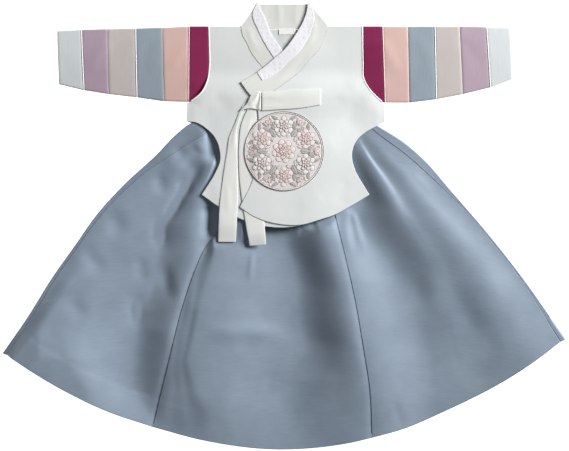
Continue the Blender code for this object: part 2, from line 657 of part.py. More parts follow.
def build_sleeve(side, seams, armhole, out):
    """Six strips and their piping; out is the way from the body to the cuff, -1 or 1."""
    for k, (strip, top_x, top_y, bottom_x, bottom_y, piping) in enumerate(seams):
        start_top, start_bottom = (top_x, top_y), (bottom_x, bottom_y)
        seam_room = PIPING_WIDTH / 2 + GAP if piping else GAP / 2
        if k + 1 < len(seams):
            following = seams[k + 1]
            end_top, end_bottom = following[1:3], following[3:5]
            end_room = PIPING_WIDTH / 2 + GAP if following[5] else GAP / 2
        else:
            end_top, end_bottom, end_room = start_top, armhole[-1], ARMHOLE_ROOM
        outer, inner = [], []
        for share in (0.0, 0.5, 1.0):
            shift = -out * seam_room * (1 - share) + out * end_room * share
            top = np.array(start_top) * (1 - share) + np.array(end_top) * share + (shift, 0)
            bottom = np.array(start_bottom) * (1 - share) + np.array(end_bottom) * share + (shift, 0)
            near_body = k + 1 == len(seams)
            puff = SLEEVE_PUFF * (1 - share if near_body else 1.0)
            for rings, ring in zip((outer, inner), sleeve_section(top, bottom, puff)):
                if near_body:
                    shifted = edge((armhole, ARMHOLE_ROWS)) + (out * end_room, 0)
                    ring = bend_to(ring, shifted, share)
                rings.append(ring)
        wall(f"sleeve_{side}_{strip}", np.array(outer), np.array(inner), strip, ring=True)
        if piping:
            cloth = {"white": "bright_white", "pink": "pale_pink"}[piping]
            outer, inner = [], []
            for shift in (-PIPING_WIDTH / 2, PIPING_WIDTH / 2):
                section = sleeve_section(np.add(start_top, (shift, 0)), np.add(start_bottom, (shift, 0)),
                                         SLEEVE_PUFF, PIPING_PROUD)
                outer.append(section[0])
                inner.append(section[1])
            wall(f"piping_{side}_{strip}", np.array(outer), np.array(inner), cloth, ring=True)


def build_armhole_piping(name, armhole, bed):
    """A thin cord laid in the armhole seam."""
    path = edge((armhole, 14))
    left, right = moved(path, -PIPING_WIDTH / 2), moved(path, PIPING_WIDTH / 2)
    grid = np.stack([left, right], axis=1)
    low = np.maximum(bed(grid[..., 0], grid[..., 1]), JACKET_WALL + GAP) + JACKET_WALL
    low = np.maximum(low, low.max(axis=1, keepdims=True)) + 2 * GAP
    wall(name, with_height(grid, low + PIPING_PROUD), with_height(grid, low), "bright_white")


# ---- Ribbon and patch -----------------------------------------------------
def build_ribbon():
    tails = {"goreum_tail_outer": (TAIL_OUTER_LEFT, TAIL_OUTER_RIGHT),
             "goreum_tail_inner": (TAIL_INNER_LEFT, TAIL_INNER_RIGHT)}
    for name, (left, right) in tails.items():
        band(name, edge((left, 14)), edge((right, 14)), ribbon_bed, RIBBON_WALL, "cream_silk")

    rows, columns = 6, 4
    left, right = edge((KNOT_LEFT, rows)), edge((KNOT_RIGHT, rows))
    bottom = edge(([left[-1], (-56, 178), right[-1]], columns))
    grid = patch(left, right, spread([left[0], right[0]], columns), bottom)
    on_top = raised(outer_bed, JACKET_WALL + 2 * GAP)
    low = on_top(grid[..., 0], grid[..., 1])
    u = np.linspace(-1, 1, columns + 1)[None, :]
    v = np.linspace(-1, 1, rows + 1)[:, None]
    crown = KNOT_THICKNESS * (0.55 + 0.45 * (1 - u**2) * (1 - v**2))
    wall("goreum_knot", with_height(grid, low + crown), with_height(grid, low), "cream_silk")

    top, bottom = edge((LOOP_TOP, 8)), edge((LOOP_BOTTOM, 8))
    flat = np.stack([top, (top + bottom) / 2, bottom], axis=1)
    bed = on_top(flat[..., 0], flat[..., 1])
    layer = RIBBON_WALL + GAP
    fold = flat[-1:] + (1.0, 0.0)
    fold_bed = bed[-1:]
    outer = np.concatenate([with_height(flat, bed),
                            with_height(fold, fold_bed + layer - GAP / 2),
                            with_height(flat[::-1], bed[::-1] + layer + RIBBON_WALL)])
    tuck = flat.copy()
    tuck[-1, :, 0] -= RIBBON_WALL
    inner_fold = fold - (RIBBON_WALL + 0.6, 0.0)
    inner = np.concatenate([with_height(tuck, bed + RIBBON_WALL),
                            with_height(inner_fold, fold_bed + layer - GAP / 2),
                            with_height(tuck[::-1], bed[::-1] + layer)])
    wall("goreum_loop", outer, inner, "cream_silk")


def build_medallion():
    """A round patch, its square grid of points rounded to a disc."""
    steps = np.linspace(-1, 1, 13)
    u, v = np.meshgrid(steps, steps[::-1])
    x = MEDALLION_CENTRE[0] + MEDALLION_RADIUS * u * np.sqrt(1 - v**2 / 2)
    y = MEDALLION_CENTRE[1] + MEDALLION_RADIUS * v * np.sqrt(1 - u**2 / 2)
    sheet("medallion", np.dstack([x, y]), raised(outer_bed, JACKET_WALL + 2 * GAP), PATCH_WALL, "patch")


def main():
    clear_scene()
    build_skirt_back("chima_back_right", SKIRT_EDGE_RIGHT, SIDE_LINE_RIGHT, HEM_BACK_RIGHT, -1)
    build_skirt_back("chima_back_left", SKIRT_EDGE_LEFT, SIDE_LINE_LEFT, HEM_BACK_LEFT, 1)
    build_skirt_front()
    build_waistband()
    build_jacket_back()
    build_jacket_fronts()
    build_collar()
    build_sleeve("right", SLEEVE_RIGHT, ARMHOLE_RIGHT, -1)
    build_sleeve("left", SLEEVE_LEFT, ARMHOLE_LEFT, 1)
    build_armhole_piping("piping_right_armhole", ARMHOLE_RIGHT, front_bed)
    build_armhole_piping("piping_left_armhole", ARMHOLE_LEFT, outer_bed)
    build_ribbon()
    build_medallion()


main()
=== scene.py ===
"""Looks of a child's hanbok laid flat: a white jeogori over a slate satin chima.

Every cloth panel is made here as a thin shell on its solid's form, with its own
folds, rounded edges, weave and sewing. Tables and sizes are in millimetres, with
+X to the viewer's right, +Y towards the neck and +Z up; meshes are in metres.
Right and left in the names are the wearer's, so the wearer's right is at -X.
"""

import logging
import math
from dataclasses import dataclass, field, replace
from enum import Enum
from typing import Any, Callable, Sequence

import bpy
import numpy as np
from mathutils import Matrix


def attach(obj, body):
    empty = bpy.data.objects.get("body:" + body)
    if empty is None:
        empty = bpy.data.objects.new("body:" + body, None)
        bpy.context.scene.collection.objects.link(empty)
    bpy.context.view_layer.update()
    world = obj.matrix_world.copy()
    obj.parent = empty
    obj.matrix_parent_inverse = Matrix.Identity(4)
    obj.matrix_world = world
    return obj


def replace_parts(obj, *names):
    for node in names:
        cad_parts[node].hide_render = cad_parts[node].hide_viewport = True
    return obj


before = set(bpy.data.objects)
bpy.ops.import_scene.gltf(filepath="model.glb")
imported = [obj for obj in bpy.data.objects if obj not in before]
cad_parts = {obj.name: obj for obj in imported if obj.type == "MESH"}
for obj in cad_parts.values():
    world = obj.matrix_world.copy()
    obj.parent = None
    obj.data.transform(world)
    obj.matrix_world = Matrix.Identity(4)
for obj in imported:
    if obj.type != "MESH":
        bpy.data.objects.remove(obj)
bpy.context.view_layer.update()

log = logging.getLogger("hanbok")

MM = 0.001
JACKET_WALL = 0.8
SKIRT_WALL = 1.6
RIBBON_WALL = 0.5
STRIP_WALL = 0.6
LABEL_WALL = 0.6
# The least side, in millimetres, that a sheet of cloth is declared with.
LEAST_SIDE = 10.0
# How much of a wall's thickness is left at its rim.
RIM_SHARE = 0.45
GAP = 0.25
SKIRT_SLACK = 1.2
JACKET_SLACK = 2.0

Colour = tuple[float, float, float]
Point = tuple[float, float]
Bed = Callable[[np.ndarray, np.ndarray], np.ndarray]


# ---- Shader graph ----------------------------------------------------------
class Value:
    """An output socket that takes part in arithmetic."""

    def __init__(self, graph: "Graph", socket: bpy.types.NodeSocket) -> None:
        """Wrap a socket of a graph."""
        self.graph = graph
        self.socket = socket

    def _math(self, operation: str, first: Any, second: Any = 0.0) -> "Value":
        """Add a Math node for one operation on two numbers or values."""
        return self.graph.node("ShaderNodeMath", {"operation": operation}, {0: first, 1: second})

    def __add__(self, other: Any) -> "Value":
        """Sum."""
        return self._math("ADD", self, other)

    def __radd__(self, other: Any) -> "Value":
        """Sum, with the number first."""
        return self._math("ADD", other, self)

    def __sub__(self, other: Any) -> "Value":
        """Difference."""
        return self._math("SUBTRACT", self, other)

    def __rsub__(self, other: Any) -> "Value":
        """Difference, with the number first."""
        return self._math("SUBTRACT", other, self)

    def __mul__(self, other: Any) -> "Value":
        """Product."""
        return self._math("MULTIPLY", self, other)

    def __rmul__(self, other: Any) -> "Value":
        """Product, with the number first."""
        return self._math("MULTIPLY", other, self)

    def sine(self) -> "Value":
        """Sine."""
        return self._math("SINE", self)

    def held(self, low: float, high: float) -> "Value":
        """The value turned from a range into 0 to 1, and held there."""
        return self.graph.node("ShaderNodeMapRange", {"clamp": True},
                               {"Value": self, "From Min": low, "From Max": high})


class Graph:
    """The node tree of one material."""

    def __init__(self, name: str) -> None:
        """Make an empty material with an output and a Principled shader."""
        self.material = bpy.data.materials.new(name)
        self.material.use_nodes = True
        self.tree = self.material.node_tree
        self.shader = self.tree.nodes["Principled BSDF"]

    def node(self, kind: str, settings: dict[str, Any] | None = None,
             sockets: dict[Any, Any] | None = None, output: int | str = 0) -> Value:
        """Add a node.

        Args:
            kind: The node's type.
            settings: Its settings, set before its sockets.
            sockets: Numbers, colours or values for its inputs, by name or index.
            output: The output that is returned.

        Returns:
            That output, as a value.
        """
        made = self.tree.nodes.new(kind)
        for name, setting in (settings or {}).items():
            setattr(made, name, setting)
        for name, value in (sockets or {}).items():
            self.feed(made.inputs[name], value)
        return Value(self, made.outputs[output])

    def feed(self, socket: bpy.types.NodeSocket, value: Any) -> None:
        """Link a value to a socket, or set a number or colour on it."""
        if isinstance(value, Value):
            self.tree.links.new(value.socket, socket)
        else:
            socket.default_value = value

    def principled(self, **sockets: Any) -> None:
        """Feed the shader's sockets; an underscore stands for a space."""
        for name, value in sockets.items():
            self.feed(self.shader.inputs[name.replace("_", " ")], value)

    def mix(self, factor: Any, first: Colour, second: Colour) -> Value:
        """Mix two colours by a factor."""
        return self.node("ShaderNodeMix", {"data_type": "RGBA"},
                         {0: factor, 6: (*first, 1.0), 7: (*second, 1.0)}, output=2)

    def split(self, vector: Value) -> tuple[Value, Value]:
        """X and Y of a vector."""
        axes = self.tree.nodes.new("ShaderNodeSeparateXYZ")
        self.feed(axes.inputs[0], vector)
        return Value(self, axes.outputs[0]), Value(self, axes.outputs[1])

    def bump(self, depth: float, height: Value) -> Value:
        """Normals of a relief as deep as a size in metres."""
        return self.node("ShaderNodeBump", None, {"Strength": 1.0, "Distance": depth, "Height": height})

    def placed(self, cell: Sequence[float], turn: float = 0.0) -> Value:
        """Object coordinates turned by an angle, and measured in cells of a size in metres."""
        coordinates = self.node("ShaderNodeTexCoord", output="Object")
        return self.node("ShaderNodeMapping", {"vector_type": "TEXTURE"},
                         {"Vector": coordinates, "Rotation": (0.0, 0.0, math.radians(turn)), "Scale": cell})

    def noise(self, cell: Sequence[float], turn: float = 0.0, detail: float = 2.0) -> Value:
        """Smooth noise in cells of a size in metres."""
        return self.node("ShaderNodeTexNoise", None,
                         {"Vector": self.placed(cell, turn), "Scale": 1.0, "Detail": detail})


# Cells of the uneven threads, the broad tone and the woven figure, in metres.
SLUB_CELL = (0.016, 0.0011, 0.016)
NUB_CELL = (0.0011, 0.009, 0.009)
CLOUD_CELL = (0.07, 0.07, 0.07)
FIGURE_CELL = (0.0085, 0.0085, 0.0085)


class Weave(Enum):
    """How a cloth is woven."""

    SATIN = "satin"
    PLAIN = "plain"
    BROCADE = "brocade"
    RIBBED = "ribbed"


@dataclass(frozen=True)
class Cloth:
    """One cloth finish.

    Attributes:
        name: The finish's name.
        colour: Colour of the raised threads.
        shade: Colour of the deeper threads and of the cloudy patches.
        weave: How it is woven.
        thread: Pitch of the threads, in metres.
        streak: Strength of the uneven threads in the colour, from 0 to 1.
        cloud: Strength of the broad uneven tone, from 0 to 1.
        roughness: Roughness of its shine.
        sheen: Weight of its soft sheen.
        relief: Height of its threads, in metres.
        turn: Angle of the cross threads from +X, in degrees.
        slot: The record's finish that it stands for; not used.
        lustre: How much of its shine has the cloth's own colour, from 0 to 1.
    """

    name: str
    colour: Colour
    shade: Colour
    weave: Weave = Weave.PLAIN
    thread: float = 0.0005
    streak: float = 0.35
    cloud: float = 0.3
    roughness: float = 0.6
    sheen: float = 0.15
    relief: float = 0.00004
    turn: float = 0.0
    slot: str = "jacket_silk"
    lustre: float = 0.0

    def material(self) -> bpy.types.Material:
        """The finish as a material, made once."""
        if self.name in bpy.data.materials:
            return bpy.data.materials[self.name]
        graph = Graph(self.name)
        across, down = graph.split(graph.placed((1.0, 1.0, 1.0), self.turn))
        pitch = 2.0 * math.pi / self.thread
        weft, warp = ((way * pitch).sine() * 0.5 + 0.5 for way in (down, across))
        slub = graph.noise(SLUB_CELL, self.turn)
        nub = graph.noise(NUB_CELL, self.turn)
        cloudy = graph.noise(CLOUD_CELL, self.turn, 3.0)
        grain = slub.held(0.28, 0.72)
        height = slub * 0.7 + nub * 0.3
        if self.weave is Weave.PLAIN:
            height = height + weft * warp * 0.5
        elif self.weave is Weave.RIBBED:
            height = height + weft * 1.2
        else:
            height = height + weft * 0.35
        tone = 1.0 - cloudy.held(0.3, 0.7) * self.cloud - (1.0 - grain) * self.streak
        roughness = self.roughness + (grain - 0.5) * 0.12
        if self.weave is Weave.BROCADE:
            figure = self.figure(graph)
            tone = tone - figure * 0.22
            height = height + figure * 2.0
            roughness = roughness - figure * 0.15
        tint = tuple(0.5 + 0.5 * part for part in self.colour)
        graph.principled(
            Base_Color=graph.mix(tone.held(0.0, 1.0), self.shade, self.colour), Roughness=roughness,
            Normal=graph.bump(self.relief, height), Metallic=self.lustre, Sheen_Weight=self.sheen,
            Sheen_Roughness=0.45, Specular_IOR_Level=0.35, Sheen_Tint=(*tint, 1.0))
        return graph.material

    def figure(self, graph: Graph) -> Value:
        """A woven figure of small rounded lozenges."""
        cell = graph.placed(FIGURE_CELL, self.turn + 45.0)
        spots = graph.node("ShaderNodeTexVoronoi", {"feature": "F1"},
                           {"Vector": cell, "Scale": 1.0, "Randomness": 0.25})
        ring = spots.held(0.22, 0.34) * (1.0 - spots.held(0.42, 0.52))
        return ring + (1.0 - spots.held(0.08, 0.16))


SATIN = Cloth("chima_satin", (0.28, 0.345, 0.425), (0.18, 0.23, 0.30), Weave.SATIN, 0.0006, 0.26, 0.45,
              0.56, 0.3, 0.00005, slot="skirt_satin", lustre=0.1)
JACKET = Cloth("jeogori_silk", (0.752, 0.777, 0.77), (0.61, 0.64, 0.642), Weave.PLAIN, 0.0005, 0.16, 0.22,
               0.62, 0.1, 0.00004, 90.0)
LINING = Cloth("jeogori_back_silk", (0.68, 0.705, 0.71), (0.55, 0.58, 0.595), Weave.PLAIN, 0.0005, 0.2, 0.25,
               0.6, 0.1, 0.00004, 90.0)
COLLAR = Cloth("collar_silk", (0.76, 0.77, 0.735), (0.62, 0.635, 0.595), Weave.SATIN, 0.0005, 0.2, 0.2,
               0.5, 0.15, 0.00004, 35.0, "collar_silk")
RIBBON = Cloth("goreum_silk", (0.83, 0.84, 0.81), (0.69, 0.705, 0.675), Weave.SATIN, 0.0005, 0.22, 0.2,
               0.5, 0.15, 0.00004, 90.0, "collar_silk")
BROCADE = Cloth("dongjeong_brocade", (0.90, 0.90, 0.93), (0.72, 0.72, 0.77), Weave.BROCADE, 0.0005, 0.15,
                0.15, 0.45, 0.15, 0.00005, 30.0, "white_trim")
PIPING = Cloth("white_piping", (0.92, 0.90, 0.91), (0.80, 0.77, 0.79), Weave.RIBBED, 0.0009, 0.1, 0.1,
               0.6, 0.1, 0.00005, 0.0, "white_trim")
PINK_PIPING = Cloth("pink_piping", (0.84, 0.68, 0.68), (0.70, 0.52, 0.53), Weave.RIBBED, 0.0009, 0.1, 0.1,
                    0.6, 0.1, 0.00005, 0.0, "pink_trim")
LABEL = Cloth("neck_label_tape", (0.92, 0.92, 0.91), (0.82, 0.82, 0.81), Weave.RIBBED, 0.0006, 0.1, 0.1,
              0.6, 0.05, 0.00004, 0.0, "white_trim")
PATCH = Cloth("patch_ground_silk", (0.80, 0.765, 0.745), (0.70, 0.655, 0.635), Weave.PLAIN, 0.0008, 0.3, 0.5,
              0.7, 0.1, 0.0001, 12.0, "patch_ground")
STRIP_CLOTHS = {
    "cuff": Cloth("strip_cuff_silk", (0.70, 0.735, 0.745), (0.58, 0.62, 0.64), turn=90.0, slot="strip_cuff"),
    "mauve": Cloth("strip_mauve_silk", (0.48, 0.37, 0.45), (0.38, 0.275, 0.355), turn=90.0,
                   slot="strip_mauve"),
    "beige": Cloth("strip_beige_silk", (0.60, 0.55, 0.53), (0.49, 0.44, 0.42), turn=90.0,
                   slot="strip_beige"),
    "blue": Cloth("strip_blue_silk", (0.325, 0.385, 0.44), (0.25, 0.305, 0.36), turn=90.0,
                  slot="strip_blue"),
    "pink": Cloth("strip_pink_silk", (0.72, 0.50, 0.45), (0.60, 0.40, 0.36), turn=90.0,
                  slot="strip_pink"),
    "crimson": Cloth("strip_crimson_silk", (0.262, 0.011, 0.083), (0.17, 0.005, 0.05), sheen=0.03, turn=90.0,
                     slot="strip_crimson"),
}


# ---- Curves ----------------------------------------------------------------
def smoothstep(low: float, high: float, value: np.ndarray) -> np.ndarray:
    """Rise smoothly from 0 at low to 1 at high."""
    t = np.clip((value - low) / (high - low), 0.0, 1.0)
    return t * t * (3.0 - 2.0 * t)


def below(y: np.ndarray, start: float, full: float) -> np.ndarray:
    """Rise smoothly from 0 at one y to 1 at a lower one."""
    return smoothstep(-start, -full, -y)


def bell(distance: np.ndarray, width: float | np.ndarray) -> np.ndarray:
    """1 at distance 0, falling smoothly away over a width."""
    return np.exp(-(distance / width) ** 2)


def fractions(path: np.ndarray) -> np.ndarray:
    """How far along the path each of its points is, from 0 to 1."""
    along = np.concatenate([[0.0], np.cumsum(np.linalg.norm(np.diff(path, axis=0), axis=1))])
    return along / along[-1]


def sample(path: np.ndarray, shares: np.ndarray) -> np.ndarray:
    """Points of a polyline at the given shares of its length."""
    along = fractions(path)
    return np.column_stack([np.interp(shares, along, path[:, k]) for k in range(path.shape[1])])


def unit(ways: np.ndarray) -> np.ndarray:
    """The directions at length 1."""
    return ways / np.linalg.norm(ways, axis=-1, keepdims=True)


def between(start: np.ndarray, end: np.ndarray, pieces: int) -> np.ndarray:
    """A straight line of points from one to another."""
    return sample(np.array([start, end], float), np.linspace(0.0, 1.0, pieces + 1))


def smooth(points: Sequence[Point], per_span: int = 12) -> np.ndarray:
    """A smooth curve through the points, as a fine polyline."""
    points = np.asarray(points, float)
    if len(points) < 3:
        return points
    steps = np.linalg.norm(np.diff(points, axis=0), axis=1)
    slopes = np.diff(points, axis=0) / steps[:, None]
    tangents = np.empty_like(points)
    tangents[0], tangents[-1] = slopes[0], slopes[-1]
    before, after = steps[:-1, None], steps[1:, None]
    tangents[1:-1] = (slopes[:-1] * after + slopes[1:] * before) / (before + after)
    fine = [points[0]]
    for k, step in enumerate(steps):
        for s in np.arange(1, per_span + 1) / per_span:
            h0, h1 = 2 * s**3 - 3 * s**2 + 1, s**3 - 2 * s**2 + s
            h2, h3 = -2 * s**3 + 3 * s**2, s**3 - s**2
            fine.append(h0 * points[k] + h1 * step * tangents[k]
                        + h2 * points[k + 1] + h3 * step * tangents[k + 1])
    return np.array(fine)


def edge(*stretches: tuple[Sequence[Point], int]) -> np.ndarray:
    """One edge from (points, pieces) stretches, which meet at corners."""
    parts = [sample(smooth(points), np.linspace(0.0, 1.0, pieces + 1)) for points, pieces in stretches]
    return np.vstack([parts[0]] + [part[1:] for part in parts[1:]])


def moved(path: np.ndarray, distance: float) -> np.ndarray:
    """The path moved to its right-hand side, seen from above, by a distance."""
    return path + distance * unit(np.gradient(path, axis=0))[:, ::-1] * (1, -1)


def patch(left: np.ndarray, right: np.ndarray, top: np.ndarray, bottom: np.ndarray) -> np.ndarray:
    """A grid of points between four edges, with close rows and columns at its edges.

    Args:
        left: Left edge, from the top; right has as many points.
        right: Right edge.
        top: Top edge, from the left; bottom has as many points.
        bottom: Bottom edge.

    Returns:
        Points as rows, columns and (x, y).
    """
    left, right = close_pair(left, right)
    top, bottom = close_pair(top, bottom)
    v = ((fractions(left) + fractions(right)) / 2)[:, None, None]
    u = ((fractions(top) + fractions(bottom)) / 2)[None, :, None]
    across = (1 - u) * left[:, None] + u * right[:, None]
    down = (1 - v) * top[None] + v * bottom[None]
    corners = ((1 - u) * (1 - v) * left[0] + u * (1 - v) * right[0]
               + (1 - u) * v * left[-1] + u * v * right[-1])
    return across + down - corners


def panel(left: np.ndarray, right: np.ndarray, hem: Sequence[Point] | np.ndarray,
          columns: int) -> np.ndarray:
    """A grid of points with a straight top, and a hem that its sides end on."""
    bottom = edge((hem, columns))
    bottom[0], bottom[-1] = left[-1], right[-1]
    return patch(left, right, between(left[0], right[0], columns), bottom)


def close_pair(first: np.ndarray, second: np.ndarray) -> tuple[np.ndarray, np.ndarray]:
    """Two opposite edges with close points added near the ends of both."""
    insets = np.array((0.5, 1.2, 2.4))

    def inset(end: np.ndarray, beside: np.ndarray) -> np.ndarray:
        """Points from an end towards the point beside it, short of it."""
        share = min(1.0 / np.linalg.norm(beside - end), 0.75 / insets[-1])
        return end + (beside - end) * (insets * share)[:, None]

    def grown(path: np.ndarray) -> np.ndarray:
        """One edge with points put in its first and last stretch."""
        return np.vstack([path[:1], inset(path[0], path[1]), path[1:-1],
                          inset(path[-1], path[-2])[::-1], path[-1:]])

    return grown(first), grown(second)


def line_distance(x: np.ndarray, y: np.ndarray, path: np.ndarray) -> tuple[np.ndarray, np.ndarray]:
    """Distance from each point to a polyline, and how far along its nearest place is."""
    path = np.asarray(path, float)
    best = np.full(np.shape(x), np.inf)
    place = np.zeros(np.shape(x))
    share = fractions(path)
    for k in range(len(path) - 1):
        start, run = path[k], path[k + 1] - path[k]
        if not run.any():
            continue
        t = np.clip(((x - start[0]) * run[0] + (y - start[1]) * run[1]) / (run @ run), 0, 1)
        distance = (x - start[0] - t * run[0])**2 + (y - start[1] - t * run[1])**2
        nearer = distance < best
        best = np.where(nearer, distance, best)
        place = np.where(nearer, share[k] + t * (share[k + 1] - share[k]), place)
    return np.sqrt(best), place


def nearest(x: np.ndarray, y: np.ndarray, *lines: Sequence[Point]) -> np.ndarray:
    """Distance from each point to the nearest of some curves."""
    return np.min([line_distance(x, y, smooth(line, 4))[0] for line in lines], axis=0)


def outside(x: np.ndarray, y: np.ndarray, outline: np.ndarray) -> np.ndarray:
    """Distance outside a closed outline, 0 for points inside it."""
    closed = np.vstack([outline, outline[:1]])
    within = np.zeros(np.shape(x), bool)
    for (x0, y0), (x1, y1) in zip(closed[:-1], closed[1:]):
        if y0 != y1:
            crossing = (y0 > y) != (y1 > y)
            within ^= crossing & (x < x0 + (y - y0) * (x1 - x0) / (y1 - y0))
    return np.where(within, 0.0, line_distance(x, y, closed)[0])


def cover(x: np.ndarray, y: np.ndarray, outline: np.ndarray, margins: Point) -> np.ndarray:
    """1 over an outline and the first margin round it, falling to 0 at the second."""
    return 1.0 - smoothstep(*margins, outside(x, y, outline))


@dataclass(frozen=True)
class Crease:
    """One soft trough or ridge.

    Attributes:
        line: Points that it follows.
        height: Its height at the middle, below 0 for a trough.
        widths: Its half-width at the start and at the end.
        fades: Shares of its length over which it rises and dies away.
    """

    line: Sequence[Point]
    height: float
    widths: Point
    fades: Point = (0.25, 0.35)

    def at(self, x: np.ndarray, y: np.ndarray) -> np.ndarray:
        """Its height at each point."""
        distance, place = line_distance(x, y, smooth(self.line, 5))
        width = self.widths[0] + (self.widths[1] - self.widths[0]) * place
        ends = smoothstep(0.0, self.fades[0], place) * (1.0 - smoothstep(1.0 - self.fades[1], 1.0, place))
        return self.height * ends * bell(distance, width)


def creased(creases: Sequence[Crease], x: np.ndarray, y: np.ndarray) -> np.ndarray:
    """Sum of creases at each point."""
    return sum((crease.at(x, y) for crease in creases), np.zeros(np.shape(x)))


def swell(x: np.ndarray, y: np.ndarray, cell: Point, seed: int) -> np.ndarray:
    """A smooth uneven field from -1 to 1, in cells of a size."""
    random = np.random.default_rng(seed).uniform(-1.0, 1.0, (64, 64))
    u, v = x / cell[0] + 30.0, y / cell[1] + 30.0
    i, j = np.floor(u).astype(int), np.floor(v).astype(int)
    s, t = u - i, v - j
    s, t = s * s * (3 - 2 * s), t * t * (3 - 2 * t)
    i, j = i % 63, j % 63
    low = random[i, j] * (1 - s) + random[i + 1, j] * s
    high = random[i, j + 1] * (1 - s) + random[i + 1, j + 1] * s
    return low * (1 - t) + high * t


# ---- Outlines ---------------------------------------------------------------
# How far past a lower layer's outline what lies on it stays up, and where it is down.
OFF_JACKET_BACK = (40, 95)
OFF_SKIRT = (12, 60)
OFF_INNER_FRONT = (12, 85)
OFF_JACKET_HEM = (8, 50)

# ---- Jacket outlines ------------------------------------------------------
ARMHOLE_RIGHT = [(-116, 305), (-115, 272), (-115, 241), (-118, 221), (-127, 203), (-137, 194),
                 (-142.5, 190)]
ARMHOLE_LEFT = [(119, 305), (120, 248), (121, 224), (129, 209), (141, 196), (149, 189)]
UNDERARM_RIGHT = [(-142.5, 190), (-148.5, 187)]
SIDE_SEAM_RIGHT = [(-148.5, 187), (-149, 159)]
UNDERARM_LEFT = [(149, 189), (153, 186)]
SIDE_SEAM_LEFT = [(153, 186), (153, 158)]
CUTOUT_RIGHT = [(-149, 159), (-137, 158), (-118, 147), (-106, 134), (-99, 116), (-98, 99),
                (-104, 83), (-118, 59), (-126, 47)]
CUTOUT_LEFT = [(153, 158), (139, 151), (123, 142), (110, 130), (103, 112), (103, 100),
               (108, 83), (118, 65), (129, 47)]
HEM_INNER_FRONT = [(-126, 47), (-99, 28), (-71, 12), (-30, -1), (-2, -3), (25, 0)]
HEM_OUTER_FRONT = [(-68, 28), (-47, 14), (-7, 2), (24, 1), (54, 9), (75, 16), (101, 30), (129, 47)]
HEM_BACK = [(-126, 47), (-71, 14), (0, -1), (75, 15), (129, 47)]
OVERLAP_EDGE = [(-42, 186), (-40, 162), (-42, 115), (-48, 72), (-68, 28)]
HIDDEN_FRONT_EDGE = [(-14, 218), (12, 200), (25, 170), (25, 90), (25, 0)]
NECK_PLACES = (-66, -53, -40, -20, 0, 20, 40, 53, 66)
NECK_FLAT_HALF_WIDTH = 40
NECK_DROP = 5
NECK_SHOULDER_MIDDLE = 91
SHOULDER_Y = 305
BACK_SEAM_X = -3

# ---- Collar outlines ------------------------------------------------------
COLLAR_INNER_SEAM = [(-43, 341), (-53, 324), (-67, 304), (-64, 290), (-59, 281), (-49, 261),
                     (-33, 241), (-14, 218)]
COLLAR_OUTER_SEAM = [(39, 341), (48, 328), (61, 313), (67, 305), (60, 289), (52, 269), (40, 256),
                     (21, 234), (9, 224), (-43, 187)]
# Rims and dongjeong seams: beside the white strip, and beyond its end.
COLLAR_INNER_RIM = {"beside": [(-41, 341), (-36, 328), (-30, 316), (-21, 293), (-10, 277), (-2, 267)],
                    "beyond": [(-2, 267), (18, 244)]}
DONGJEONG_INNER_SEAM = {"beside": [(-42, 341), (-49, 324), (-40, 298), (-30, 278), (-16, 256)],
                        "beyond": [(-16, 256), (3, 232)]}
COLLAR_OUTER_RIM = {"beside": [(36, 342), (34, 328), (27, 309), (17, 292), (-2, 267), (-15, 256),
                               (-30, 243), (-42, 234)],
                    "beyond": [(-42, 234), (-67, 219)]}
DONGJEONG_OUTER_SEAM = {"beside": [(38, 341.5), (45, 324), (40, 296), (29, 275), (19, 262), (4, 249),
                                   (-6, 238), (-22, 227), (-34, 221)],
                        "beyond": [(-34, 221), (-58, 206)]}
COLLAR_BACK_RIGHT = [(-39, 339), (-47, 324), (-53, 304)]
COLLAR_BACK_LEFT = [(37, 339), (45, 326), (53, 304)]
LABEL_CORNER = (-9, 292)
LABEL_SIZE = (25, 9)

# ---- Sleeve seams, from the cuff to the armhole ----------------------------
@dataclass(frozen=True)
class Seam:
    """The seam at which a strip of a sleeve starts.

    Attributes:
        strip: The strip's colour, in the names.
        top: Its end on the shoulder line.
        bottom: Its end under the arm.
        piping: Finish of the cord in it, or None.
    """

    strip: str
    top: Point
    bottom: Point
    piping: Cloth | None = None

    @property
    def room(self) -> float:
        """Half the space between the strips at it."""
        return 0.45 if self.piping else 0.1

    @property
    def ends(self) -> np.ndarray:
        """Its top and bottom."""
        return np.array([self.top, self.bottom], float)


SLEEVE_RIGHT = (Seam("cuff", (-348, 298), (-345, 216)),
                Seam("mauve", (-311, 300), (-307, 207), PIPING),
                Seam("beige", (-271, 301), (-269, 201)),
                Seam("blue", (-228, 302), (-226, 196), PIPING),
                Seam("pink", (-187, 303), (-184, 190)),
                Seam("crimson", (-146, 305), (-147, 189), PINK_PIPING))
SLEEVE_LEFT = (Seam("cuff", (346, 303), (349, 224)),
               Seam("mauve", (309, 304), (315, 211), PIPING),
               Seam("beige", (268, 305), (273, 201)),
               Seam("blue", (230, 305), (232, 193), PIPING),
               Seam("pink", (189, 305), (191, 188)),
               Seam("crimson", (150, 305), (154, 188), PINK_PIPING))


